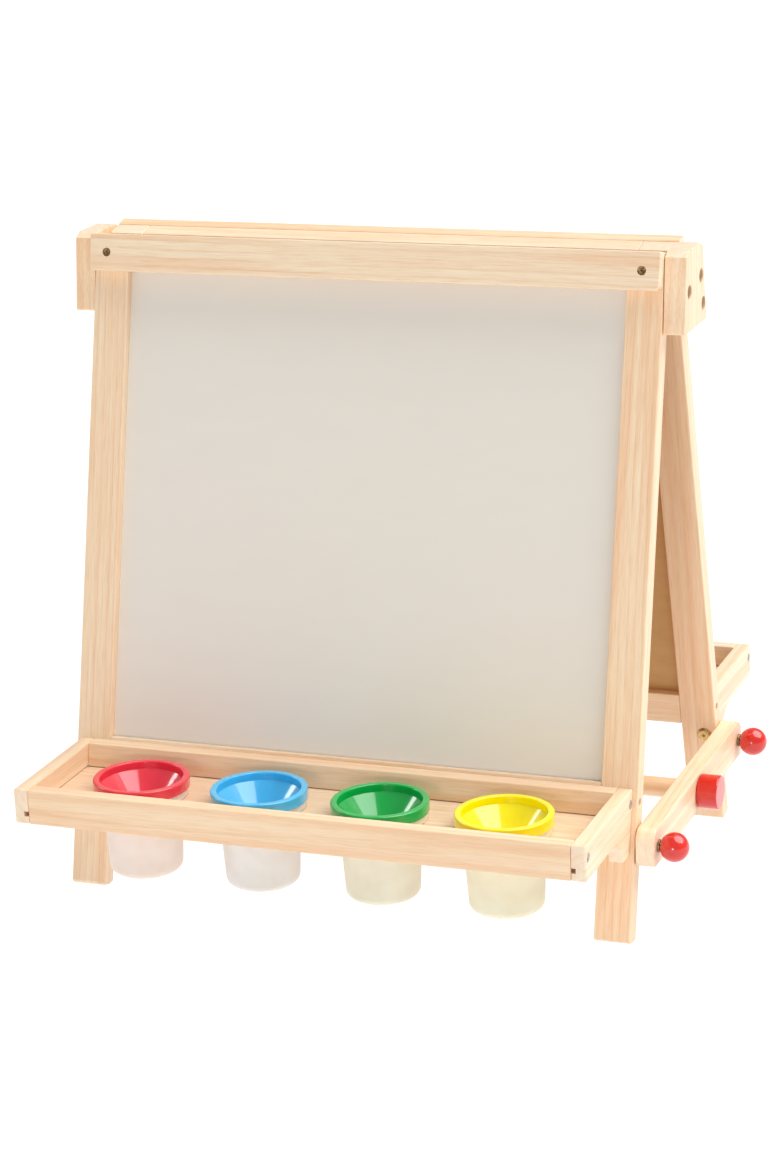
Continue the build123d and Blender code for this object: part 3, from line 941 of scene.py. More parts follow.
def rectangle(
    width: float, height: float, centre: tuple[float, float] = (0.0, 0.0)
) -> list[tuple[float, float]]:
    """Outline of a rectangle about its centre.

    Args:
        width: its size along X.
        height: its size along Y.
        centre: x and y of its centre.

    Returns:
        Its four corners.
    """
    x, y = centre
    w, h = width / 2, height / 2
    return [(x - w, y - h), (x + w, y - h), (x + w, y + h), (x - w, y + h)]


def plane(origin: Vector, x_dir: Vector, normal: Vector) -> Matrix:
    """Make a frame on a face.

    Args:
        origin: a point of the face, in millimetres.
        x_dir: its X axis, which lies in the face.
        normal: its Z axis, which looks out of the face.

    Returns:
        The matrix that takes local millimetres to the easel's.
    """
    x, z = Vector(x_dir).normalized(), Vector(normal).normalized()
    columns = [list(x) + [0], list(z.cross(x)) + [0], list(z) + [0], list(origin) + [1]]
    return Matrix(columns).transposed()


def upright(x: float, way: int = 1) -> Matrix:
    """Frame at x that looks along the easel, with its X along Y or against it, and its Y up."""
    return basis(Vector((x, 0, 0)), Vector((0, way, 0)), Vector((0, 0, 1)))


def lowered(place: Matrix, depth: float) -> Matrix:
    """Move a frame down its own Z axis."""
    return place @ Matrix.Translation((0, 0, -depth))


def side_plane(hand: Hand, x: float, y: float, z: float) -> Matrix:
    """Frame on a face that looks out to the left or the right."""
    return plane(Vector((hand.value * x, y, z)), Vector((0, 1, 0)), Vector((hand.value, 0, 0)))


def bore(
    place: Matrix, radius: float, depth: float, above: float = 3.0, edge: float = 0.0
) -> bmesh.types.BMesh:
    """Cutting tool for a round hole.

    Args:
        place: frame on the face, looking out of it.
        radius: radius of the hole.
        depth: how deep it goes.
        above: how far the tool stands proud of the face.
        edge: width of the easing round its mouth.

    Returns:
        The tool, in the easel's millimetres.
    """
    mouth = [(radius, -edge), (radius + edge + above, above)] if edge else [(radius, above)]
    tool = lathed([(0, above), (0, -depth), (radius, -depth)] + mouth, 64)
    tool.transform(place)
    return tool


class Head(Enum):
    """The two kinds of screw head."""

    COUNTERSUNK = "countersunk"
    PAN = "pan"


@dataclass(frozen=True)
class Screw:
    """A cross-head wood screw. Its own frame looks out of the wood it is driven into."""

    length: float
    head: Head = Head.COUNTERSUNK
    shank_radius: float = 1.75
    head_radius: float = 3.4
    head_height: float = 2.2
    recess: float = 0.8              # how far the head is sunk
    thread_depth: float = 0.35
    pitch: float = 1.8
    slack: float = 0.12              # gap round the screw in its hole
    cross_reach: float = 0.52        # reach of the cross as a share of the head's radius

    def make(self, name: str, places: list[Matrix], material: bpy.types.Material) -> bpy.types.Object:
        """Make the screw and put a copy at each place.

        Args:
            name: name of the joined object.
            places: frames on the faces the screws go into.
            material: their finish.

        Returns:
            The joined screws.
        """
        body = lathed(self._profile(), 40)
        one = shape(name + "-one", body, cutters=(self._cross(),), crease=TURNED_CREASE)
        one.data.materials.append(material)
        return copies(name, one, places)

    def hole(self, place: Matrix) -> bmesh.types.BMesh:
        """Cutting tool for a sunk countersunk head and its shank.

        Args:
            place: frame on the face the screw goes into.

        Returns:
            The tool, in the easel's millimetres.
        """
        shank, head = self.shank_radius + self.slack, self.head_radius + self.slack
        profile = [
            (0, 4.0),
            (0, -self.length - 1),
            (shank, -self.length - 1),
            (shank, -self.recess - self.head_height),
            (head, -self.recess - 0.2),
            (head, -0.35),
            (head + 0.35, 0.02),
            (head + 0.35, 4.0),
        ]
        tool = lathed(profile, 48)
        tool.transform(place)
        return tool

    def _profile(self) -> list[tuple[float, float]]:
        """Half of the screw's section: head, ridged shank and point.

        Returns:
            Radius and height of each point, in order.
        """
        r, head, height = self.shank_radius, self.head_radius, self.head_height
        if self.head is Head.PAN:
            start = 0.0
            shares = (0.0, 0.3, 0.55, 0.75, 0.9, 0.97, 1.0)
            crown = [(head * s, height * (0.62 + 0.38 * sqrt(1 - s**2))) for s in shares]
            points = crown + [(head, 0.15), (head - 0.15, 0.0), (r, 0.0)]
        else:
            start = -self.recess
            points = [(0, start), (head - 0.12, start), (head, start - 0.1)]
            points += [(head, start - 0.3), (r, start - height)]
        ridge = start - height - 2.0 if self.head is Head.COUNTERSUNK else -4.0
        while ridge > 4.0 - self.length:
            points += [(r, ridge), (r - self.thread_depth, ridge - self.pitch * 0.35)]
            points += [(r - self.thread_depth, ridge - self.pitch * 0.65), (r, ridge - self.pitch * 0.9)]
            ridge -= self.pitch
        return points + [(r * 0.8, 3.0 - self.length), (0, -self.length)]

    def _cross(self) -> bmesh.types.BMesh:
        """Cutting tool for the cross recess in the head.

        Returns:
            The tool, in the screw's own frame.
        """
        arm, half = self.head_radius * self.cross_reach, self.head_radius * 0.12
        top = self.head_height if self.head is Head.PAN else -self.recess
        corners = [(half, half), (half, arm), (-half, arm), (-half, half), (-arm, half), (-arm, -half)]
        corners += [(-half, -half), (-half, -arm), (half, -arm), (half, -half), (arm, -half), (arm, half)]
        tool = extruded(corners, 2.6)
        for vert in tool.verts:
            if vert.co.z < 1:
                vert.co.xy *= 0.5
        tool.transform(Matrix.Translation((0, 0, top - 1.6)))
        return tool


def turned(
    name: str,
    profile: list[tuple[float, float]],
    places: list[Matrix],
    material: bpy.types.Material,
    steps: int = 96,
) -> bpy.types.Object:
    """Turn a profile and put a copy at each place.

    Args:
        name: name of the object.
        profile: closed half section, radius and height.
        places: frames whose Z axis is the axis of turning.
        material: its finish.
        steps: straight pieces in a full turn.

    Returns:
        The joined object.
    """
    one = shape(name + "-one", lathed(profile, steps), crease=TURNED_CREASE)
    one.data.materials.append(material)
    return copies(name, one, places)


# ---------------------------------------------------------------------------------------------
# Sub-assemblies
# ---------------------------------------------------------------------------------------------


@dataclass(frozen=True)
class Stance:
    """How the two frames stand against each other, in millimetres."""

    lean: float = radians(13.9)
    foot_reach: float = 146.0
    foot_lift: float = 2.5
    stile_thickness: float = 16.5
    front_half_width: float = 235.6
    rear_half_width: float = 236.0
    bar_gap: float = 0.8
    bar_thickness: float = 15.0
    axle_height: float = 75.0

    def frame(self, side: Side) -> Matrix:
        """Frame on the outer face of an easel frame: X along the rails, Y up the stiles.

        Args:
            side: the side the frame faces.

        Returns:
            The matrix that takes the face's millimetres to the easel's.
        """
        s = side.value
        origin = Vector((0, s * self.foot_reach, self.foot_lift))
        return plane(origin, Vector((-s, 0, 0)), Vector((0, s * cos(self.lean), sin(self.lean))))

    def half_width(self, side: Side) -> float:
        """Half of a frame's width over its stiles."""
        return self.front_half_width if side is Side.FRONT else self.rear_half_width

    def face_y(self, z: float) -> float:
        """Distance of a stile's outer face from the middle plane at a height."""
        return self.foot_reach - (z - self.foot_lift) * tan(self.lean)

    def axis_y(self, z: float) -> float:
        """Distance of a stile's centre line from the middle plane at a height."""
        return self.face_y(z) - self.stile_thickness / (2 * cos(self.lean))

    @property
    def bar_inner_x(self) -> float:
        """Distance of a spreader bar's inner face from the middle."""
        return self.rear_half_width + self.bar_gap

    @property
    def bar_outer_x(self) -> float:
        """Distance of a spreader bar's outer face from the middle."""
        return self.bar_inner_x + self.bar_thickness

    @property
    def knob_y(self) -> float:
        """Distance of the knobs from the middle plane."""
        return self.axis_y(self.axle_height)


@dataclass
class EaselFrame:
    """One ladder frame: two stiles, two rails, a cap rail over the top, and a drawing panel in a groove."""

    side: Side
    stance: Stance
    finishes: Finishes
    first_board: int
    stile_length: float = 525.0
    stile_width: float = 29.0
    top_rail_height: float = 27.0
    bottom_rail_foot: float = 94.0
    bottom_rail_height: float = 28.0
    cap_height: float = 29.5
    cap_thickness: float = 12.0
    cap_corner: float = 4.5
    foot_rounding: float = 3.4
    panel_thickness: float = 3.0
    panel_setback: float = 7.0
    groove_depth: float = 5.0
    groove_slack: float = 0.15
    insert_radius: float = 4.5
    insert_length: float = 11.0
    stud_radius: float = 3.0
    running_gap: float = 0.06
    cap_gap: float = 0.3             # hairline between the cap rail and the frame it is laid on
    rail_screw: Screw = Screw(45.0, recess=2.2)
    cap_screw: Screw = Screw(17.0, recess=0.7)
    pivot_y: float = -16.0
    pivot_z: float = 481.0
    pivot_bore: float = 15.0

    def __post_init__(self) -> None:
        """Work out the body and the frame that the boards lie in."""
        self.face = self.stance.frame(self.side)
        self.half = self.stance.half_width(self.side)
        self.word = self.side.word
        self.body = self.word + "_frame"

    def build(self) -> None:
        """Build every piece of the frame."""
        for hand in Hand:
            self._stile(hand)
        self._rail("bottom_rail", self.bottom_rail_foot, self.bottom_rail_height, 2)
        self._rail("top_rail", self.stile_length - self.top_rail_height, self.top_rail_height, 3)
        self._cap_rail()
        self._panel()
        places = self._rail_screw_places()
        rail_screws = self.rail_screw.make(f"{self.word}-rail-screws", places, self.finishes.zinc)
        self._mount(rail_screws, "zinc_steel", "rail_screws")
        places = self._cap_screw_places()
        cap_screws = self.cap_screw.make(f"{self.word}-cap-screws", places, self.finishes.dark_brass)
        self._mount(cap_screws, "brass", "cap_screws")
        self._inserts()

    def _mount(self, thing: bpy.types.Object, slot: str, part: str) -> None:
        """Mount a piece of this frame in place of its node."""
        mount(thing, self.body, slot, f"{self.word}_{part}")

    def _rail_screw_places(self) -> list[Matrix]:
        """Frames of the four screws through the stiles into the rails' ends.

        Returns:
            One frame for each screw, looking out of the wood.
        """
        heights = (
            self.bottom_rail_foot + self.bottom_rail_height / 2,
            self.stile_length - self.top_rail_height / 2,
        )
        spots = [self.face @ Vector((0, height, -self.stance.stile_thickness / 2)) for height in heights]
        return [side_plane(hand, self.half, spot.y, spot.z) for hand in Hand for spot in spots]

    def _cap_screw_places(self) -> list[Matrix]:
        """Frames of the two screws in the cap rail.

        Returns:
            One frame for each screw, looking out of the wood.
        """
        spread = self.half - self.stile_width / 2
        height = self.stile_length - self.cap_height / 2
        return [self.face @ Matrix.Translation((x, height, self.cap_thickness)) for x in (-spread, spread)]

    def _panel_outline(self) -> list[tuple[float, float]]:
        """Outline of the panel, which reaches the bottom of its groove all round.

        Returns:
            Its four corners, on the frame's outer face.
        """
        width = 2 * (self.half - self.stile_width + self.groove_depth)
        low = self.bottom_rail_foot + self.bottom_rail_height - self.groove_depth
        high = self.stile_length - self.top_rail_height + self.groove_depth
        return rectangle(width, high - low, (0, (low + high) / 2))

    def _groove(self) -> bmesh.types.BMesh:
        """Cutting tool for the groove that holds the panel.

        Returns:
            The tool, in the easel's millimetres.
        """
        tool = extruded(self._panel_outline(), self.panel_thickness + 2 * self.groove_slack)
        depth = self.panel_setback + self.panel_thickness + self.groove_slack
        tool.transform(lowered(self.face, depth))
        return tool

    def _stile(self, hand: Hand) -> None:
        """Build one leg, its foot cut square with a narrow level flat where it meets the ground.

        Args:
            hand: the end of the easel it stands at.
        """
        thick, length = self.stance.stile_thickness, self.stile_length
        lift = self.stance.foot_lift
        flat = lift / sin(self.stance.lean)
        heel = (thick - flat) * tan(self.stance.lean)
        outline = rounded(
            [
                (0, 0, self.foot_rounding),
                (length, 0, 0),
                (length, -thick, 0),
                (heel, -thick, self.foot_rounding * 0.8),
                (0, -flat, 0),
            ]
        )
        centre = -self.side.value * hand.value * (self.half - self.stile_width / 2)
        start = self.face @ Vector((centre - self.stile_width / 2, 0, 0))
        axes = self.face.to_3x3()
        place = basis(start, axes.col[1], axes.col[2])
        axle_y = self.side.value * self.stance.knob_y
        cutters = [self._groove()]
        cutters += [self.rail_screw.hole(spot) for spot in self._rail_screw_places()]
        axle = side_plane(hand, self.half, axle_y, self.stance.axle_height)
        cutters.append(bore(axle, self.insert_radius, self.insert_length))
        if self.side is Side.FRONT:
            pivot = side_plane(hand, self.half, self.pivot_y, self.pivot_z)
            cutters.append(bore(pivot, self.stud_radius + self.running_gap, self.pivot_bore))
        leg = Board(
            f"{self.word}-stile-{hand.word}",
            place,
            outline,
            self.stile_width,
            (0, 2, 1),
            Sawing.of(Cut.RIFT, self.first_board + (hand is Hand.RIGHT)),
            edge=1.1,
            end_edge=1.0,
            cutters=cutters,
        )
        self._mount(leg.make(self.finishes.pine), "pine", f"stile_{hand.word}")

    def _rail(self, part: str, bottom: float, height: float, number: int) -> None:
        """Build a rail between the stiles.

        Args:
            part: its word in the node's name.
            bottom: distance of its lower edge from the foot.
            height: its width up the stiles.
            number: its place in the frame's list of boards.
        """
        outline = rectangle(2 * (self.half - self.stile_width), height, (0, bottom + height / 2))
        rail = Board(
            f"{self.word}-{part.replace('_', '-')}",
            lowered(self.face, self.stance.stile_thickness),
            outline,
            self.stance.stile_thickness,
            (0, 1, 2),
            Sawing.of(Cut.QUARTER if number == 3 else Cut.FLAT, self.first_board + number),
            end_edge=0.3,
            cutters=[self._groove()],
        )
        self._mount(rail.make(self.finishes.pine), "pine", part)

    def _cap_rail(self) -> None:
        """Build the rail laid over the stiles' outer faces, with rounded lower corners."""
        bottom = self.stile_length - self.cap_height
        outline = rounded(
            [
                (-self.half, bottom, self.cap_corner),
                (self.half, bottom, self.cap_corner),
                (self.half, self.stile_length, 1.2),
                (-self.half, self.stile_length, 1.2),
            ],
            8,
        )
        cap = Board(
            f"{self.word}-cap-rail",
            lowered(self.face, -self.cap_gap),
            outline,
            self.cap_thickness - self.cap_gap,
            (0, 1, 2),
            Sawing.of(Cut.QUARTER, self.first_board + 4),
            edge=1.2,
            end_edge=1.0,
            cutters=[self.cap_screw.hole(spot) for spot in self._cap_screw_places()],
        )
        self._mount(cap.make(self.finishes.pine), "pine", "cap_rail")

    def _panel(self) -> None:
        """Build the drawing panel, coated on its outer face only."""
        node_name = "whiteboard" if self.side is Side.FRONT else "chalkboard"
        coating = self.finishes.dry_wipe if self.side is Side.FRONT else self.finishes.chalk_face
        panel = Board(
            node_name + "-panel",
            lowered(self.face, self.panel_setback + self.panel_thickness),
            self._panel_outline(),
            self.panel_thickness,
            (0, 1, 2),
            Sawing.of(Cut.FLAT, self.first_board + 5),
            edge=0.3,
            end_edge=0.3,
        ).make(coating, self.finishes.hardboard)
        outward = self.face.to_3x3().col[2]
        for face in panel.data.polygons:
            face.material_index = 0 if face.normal.dot(outward) > 0.5 else 1
        mount(panel, self.body, node_name, node_name)

    def _inserts(self) -> None:
        """Press the brass inserts for the knob studs into the legs' outer edges."""
        bored = self.stud_radius + self.running_gap
        profile = [(bored, -0.4), (bored + 0.4, 0)]
        profile += [(self.insert_radius - 0.2, 0), (self.insert_radius, -0.2)]
        for step in range(5):
            depth = -2.0 - 1.6 * step
            profile += [(self.insert_radius, depth + 0.5), (self.insert_radius - 0.4, depth)]
        profile += [(self.insert_radius - 0.4, -self.insert_length), (0, -self.insert_length)]
        profile += [(0, 0.5 - self.insert_length), (bored, 0.5 - self.insert_length)]
        axle_y = self.side.value * self.stance.knob_y
        places = [side_plane(hand, self.half, axle_y, self.stance.axle_height) for hand in Hand]
        sleeves = turned(f"{self.word}-leg-inserts", profile, places, self.finishes.brass, 48)
        self._mount(sleeves, "brass", "leg_inserts")


@dataclass
class Tray:
    """A tray: two ends with ears, a straight outer board, a leaning inner board and a thin floor."""

    side: Side
    stance: Stance
    finishes: Finishes
    first_board: int
    half_length: float = 232.0
    top: float = 118.5
    front: float = 239.0
    board_height: float = 28.0
    board: float = 12.0
    ear_bottom: float = 68.5
    ear_width: float = 16.0
    fixing_height: float = 85.5
    floor_top: float = 100.0
    floor_thickness: float = 3.0
    floor_groove: float = 4.0
    floor_slack: float = 0.2
    floor_gap: float = 0.8           # dark line above the floor where its groove is a little wide
    slot_length: float = 20.0        # of the groove's open end in a tray end
    slot_setback: float = 4.0        # from the tray's front to the middle of that
    cup_spacing: float = 100.0
    cup_hole: float = 33.0
    washer_radius: float = 6.0
    washer_height: float = 2.4
    end_screw: Screw = Screw(26.0, head_radius=3.7, recess=0.25)
    fixing_screw: Screw = Screw(29.0, recess=0.0)

    def __post_init__(self) -> None:
        """Work out the body, the word in the nodes' names, the cups' row and the groove."""
        self.word = self.side.word
        self.body = self.word + "_frame"
        self.cup_row = (self.front + self.stance.face_y(self.floor_top)) / 2
        self.groove_height = self.floor_thickness + self.floor_slack + self.floor_gap
        self.groove_base = self.floor_top - self.floor_thickness - self.floor_slack

    def build(self) -> None:
        """Build every piece of the tray."""
        for hand in Hand:
            self._end(hand)
        self._outer_board()
        self._inner_board()
        self._floor()
        self._screws()
        self._washers()

    def _mount(self, thing: bpy.types.Object, slot: str, part: str) -> None:
        """Mount a piece of this tray in place of its node."""
        mount(thing, self.body, slot, f"{self.word}_{part}")

    def _fixing_places(self, raised: float = 0.0) -> list[Matrix]:
        """Frames of the screws through the stiles' inner faces into the ears.

        Args:
            raised: how far they stand off the face.

        Returns:
            One frame for each screw, looking out of the wood.
        """
        spread = self.half_length - self.board / 2
        height = (self.fixing_height - self.stance.foot_lift) / cos(self.stance.lean)
        face = self.stance.frame(self.side)
        axes = face.to_3x3()
        spots = [face @ Vector((x, height, -self.stance.stile_thickness)) for x in (-spread, spread)]
        return [lowered(plane(spot, axes.col[0], -axes.col[2]), -raised) for spot in spots]

    def _end_screw_places(self) -> list[Matrix]:
        """Frames of the four screws in the tray's ends.

        Returns:
            One frame for each screw, looking out of the wood.
        """
        s = self.side.value
        back = self.stance.face_y(self.top) + self.board / 2 + 1
        rows = (back, self.front - self.board / 2)
        height = self.top - self.board_height * 0.38
        return [side_plane(hand, self.half_length, s * y, height) for hand in Hand for y in rows]

    def _floor_outline(self) -> list[tuple[float, float]]:
        """Outline of the floor, whose edges are in their grooves.

        Returns:
            Its four corners, seen from above.
        """
        outer = self.front - self.board + self.floor_groove
        inner = self.stance.face_y(self.floor_top) + self.board / cos(self.stance.lean) - self.floor_groove
        width = 2 * (self.half_length - self.board + self.floor_groove)
        return rectangle(width, outer - inner, (0, self.side.value * (inner + outer) / 2))

    def _groove(self) -> bmesh.types.BMesh:
        """Cutting tool for the groove round the tray floor, open at the ends' front edges.

        Returns:
            The tool, in the easel's millimetres.
        """
        tool = extruded(self._floor_outline(), self.groove_height)
        tool.transform(Matrix.Translation((0, 0, self.groove_base)))
        return tool

    def _end(self, hand: Hand) -> None:
        """Build a tray end: board, notch, and an ear that reaches down the stile.

        Args:
            hand: which end it is.
        """
        face_y = self.stance.face_y
        bottom = self.top - self.board_height
        notch = bottom - self.ear_bottom
        ear = face_y(self.ear_bottom) + self.ear_width
        arc = [
            (ear + notch * (1 - cos(turn)), self.ear_bottom + notch * sin(turn))
            for turn in (radians(9 * step) for step in range(10, -1, -1))
        ]
        outline = [(face_y(self.ear_bottom), self.ear_bottom), (face_y(self.top), self.top)]
        outline += [(self.front, self.top), (self.front, bottom)] + arc
        start = self.half_length - self.board if hand is Hand.RIGHT else -self.half_length
        place = upright(start if self.side is Side.REAR else start + self.board, self.side.value)
        slot = extruded(rectangle(self.floor_groove, self.slot_length), self.groove_height)
        slot_x = hand.value * (self.half_length - self.board + self.floor_groove / 2)
        slot_y = self.side.value * (self.front - self.slot_setback)
        slot.transform(Matrix.Translation((slot_x, slot_y, self.groove_base)))
        cutters = [self._groove(), slot]
        cutters += [self.end_screw.hole(spot) for spot in self._end_screw_places()]
        end = Board(
            f"{self.word}-tray-end-{hand.word}",
            place,
            outline,
            self.board,
            (0, 1, 2),
            Sawing.of(Cut.RIFT, self.first_board + (hand is Hand.RIGHT)),
            edge=1.5,
            end_edge=1.0,
            cutters=cutters,
        )
        self._mount(end.make(self.finishes.pine), "pine", f"tray_end_{hand.word}")

    def _outer_board(self) -> None:
        """Build the tray's outer board."""
        length = 2 * (self.half_length - self.board)
        bottom = self.top - self.board_height
        low = min(self.side.value * self.front, self.side.value * (self.front - self.board))
        place = basis(Vector((-length / 2, low, bottom)), Vector((1, 0, 0)), Vector((0, 1, 0)))
        board = Board(
            f"{self.word}-tray-outer-board",
            place,
            rectangle(length, self.board, (length / 2, self.board / 2)),
            self.board_height,
            (0, 2, 1),
            Sawing.of(Cut.FLAT, self.first_board + 2),
            edge=1.0,
            end_edge=0.25,
            cutters=[self._groove()],
        )
        self._mount(board.make(self.finishes.pine), "pine", "tray_outer_board")

    def _inner_board(self) -> None:
        """Build the tray's inner board, which leans with the stiles."""
        face_y = self.stance.face_y
        length = 2 * (self.half_length - self.board)
        bottom = self.top - self.board_height
        depth = self.board / cos(self.stance.lean)
        outline = [
            (face_y(bottom), bottom),
            (face_y(self.top), self.top),
            (face_y(self.top) + depth, self.top),
            (face_y(bottom) + depth, bottom),
        ]
        place = upright(-length / 2 if self.side is Side.REAR else length / 2, self.side.value)
        board = Board(
            f"{self.word}-tray-inner-board",
            place,
            outline,
            length,
            (2, 1, 0),
            Sawing.of(Cut.FLAT, self.first_board + 3),
            edge=0.9,
            end_edge=0.25,
            cutters=[self._groove()],
        )
        self._mount(board.make(self.finishes.pine), "pine", "tray_inner_board")

    def _floor(self) -> None:
        """Build the thin floor with its row of cup holes."""
        base = self.floor_top - self.floor_thickness
        columns = [self.cup_spacing * step for step in (-1.5, -0.5, 0.5, 1.5)]
        row = self.side.value * self.cup_row
        up = Vector((0, 0, 1))
        spots = [plane(Vector((x, row, self.floor_top)), Vector((1, 0, 0)), up) for x in columns]
        holes = [bore(spot, self.cup_hole, 2 * self.floor_thickness) for spot in spots]
        sheet = Board(
            f"{self.word}-tray-floor",
            Matrix.Translation((0, 0, base)),
            self._floor_outline(),
            self.floor_thickness,
            (0, 1, 2),
            Sawing.of(Cut.FLAT, self.first_board + 4),
            edge=0.3,
            end_edge=0.3,
            cutters=holes,
        )
        self._mount(sheet.make(self.finishes.plywood), "plywood", "tray_floor")

    def _screws(self) -> None:
        """Drive the screws of the tray."""
        places = self._end_screw_places()
        ends = self.end_screw.make(f"{self.word}-tray-end-screws", places, self.finishes.zinc)
        self._mount(ends, "zinc_steel", "tray_end_screws")
        places = self._fixing_places(raised=self.washer_height)
        fixing = self.fixing_screw.make(f"{self.word}-tray-fixing-screws", places, self.finishes.brass)
        self._mount(fixing, "brass", "tray_fixing_screws")

    def _washers(self) -> None:
        """Lay the dished washers under the fixing screws' heads."""
        seat = self.fixing_screw.head_radius + 0.05
        shank = self.fixing_screw.shank_radius + 0.1
        drop = self.fixing_screw.head_height
        profile = [
            (shank, 0.0),
            (self.washer_radius - 0.2, 0.0),
            (self.washer_radius, 0.25),
            (self.washer_radius - 0.35, 0.7),
            (self.washer_radius - 1.0, 1.6),
            (seat + 1.0, self.washer_height - 0.1),
            (seat + 0.6, self.washer_height),
            (seat + 0.15, self.washer_height - 0.05),
            (shank, self.washer_height - drop),
        ]
        cups = turned(f"{self.word}-cup-washers", profile, self._fixing_places(), self.finishes.brass, 64)
        self._mount(cups, "brass", "cup_washers")


@dataclass
class Hinge:
    """The two blocks fixed to the rear stiles, and the screws that the front frame turns on."""

    stance: Stance
    finishes: Finishes
    first_board: int
    thickness: float = 17.0
    bottom: float = 451.0
    top: float = 513.0
    bottom_half: float = 31.5
    top_half: float = 23.5
    chamfer_depth: float = 7.0
    chamfer_height: float = 4.0
    pivot_y: float = -16.0
    pivot_z: float = 481.0
    screw_heights: tuple[float, float] = (464.5, 487.0)
    recess_radius: float = 5.8
    recess_depth: float = 3.2
    block_screw: Screw = Screw(28.0, Head.PAN, head_radius=4.6, head_height=2.4, recess=0.0)
    pivot_screw: Screw = Screw(
        26.0, Head.PAN, shank_radius=3.0, head_radius=4.6, head_height=2.4, recess=0.0
    )

    def build(self) -> None:
        """Build the blocks and drive their screws."""
        for hand in Hand:
            self._block(hand)
        fixed = self.block_screw.make("block-screws", self._screw_places(), self.finishes.dark_brass)
        mount(fixed, "rear_frame", "brass", "block_screws")
        pivots = self.pivot_screw.make("pivot-screws", self._pivot_places(), self.finishes.dark_brass)
        mount(pivots, "rear_frame", "brass", "pivot_screws")

    def _screw_places(self) -> list[Matrix]:
        """Frames of the seats of the screws into the rear stiles."""
        x = self.stance.rear_half_width + self.thickness - self.recess_depth
        return [side_plane(hand, x, self.stance.axis_y(z), z) for hand in Hand for z in self.screw_heights]

    def _pivot_places(self) -> list[Matrix]:
        """Frames of the seats of the pivot screws."""
        x = self.stance.rear_half_width + self.thickness - self.recess_depth
        return [side_plane(hand, x, self.pivot_y, self.pivot_z) for hand in Hand]

    def _block(self, hand: Hand) -> None:
        """Build one block, its grain upright.

        Args:
            hand: the end of the easel it is fixed to.
        """
        shoulder = self.top_half - self.chamfer_depth
        slope = self.top - self.chamfer_height
        outline = rounded(
            [
                (-self.bottom_half, self.bottom, 2.0),
                (self.bottom_half, self.bottom, 2.0),
                (self.top_half, slope, 0.8),
                (shoulder, self.top, 0.8),
                (-shoulder, self.top, 0.8),
                (-self.top_half, slope, 0.8),
            ],
            4,
        )
        outer = self.stance.rear_half_width + self.thickness
        start = self.stance.rear_half_width if hand is Hand.RIGHT else -outer
        place = upright(start)
        recesses = []
        for seat in self._screw_places() + self._pivot_places():
            mouth = lowered(seat, -self.recess_depth)
            recesses.append(bore(mouth, self.recess_radius, self.recess_depth, edge=0.35))
        driven = ((self.block_screw, self._screw_places()), (self.pivot_screw, self._pivot_places()))
        for screw, seats in driven:
            recesses += [bore(seat, screw.shank_radius, screw.length, above=1.0) for seat in seats]
        block = Board(
            f"hinge-block-{hand.word}",
            place,
            outline,
            self.thickness,
            (1, 0, 2),
            Sawing.of(Cut.RIFT, self.first_board + (hand is Hand.RIGHT)),
            edge=1.8,
            end_edge=1.8,
            cutters=recesses,
        )
        mount(block.make(self.finishes.pine), "rear_frame", "pine", f"hinge_block_{hand.word}")


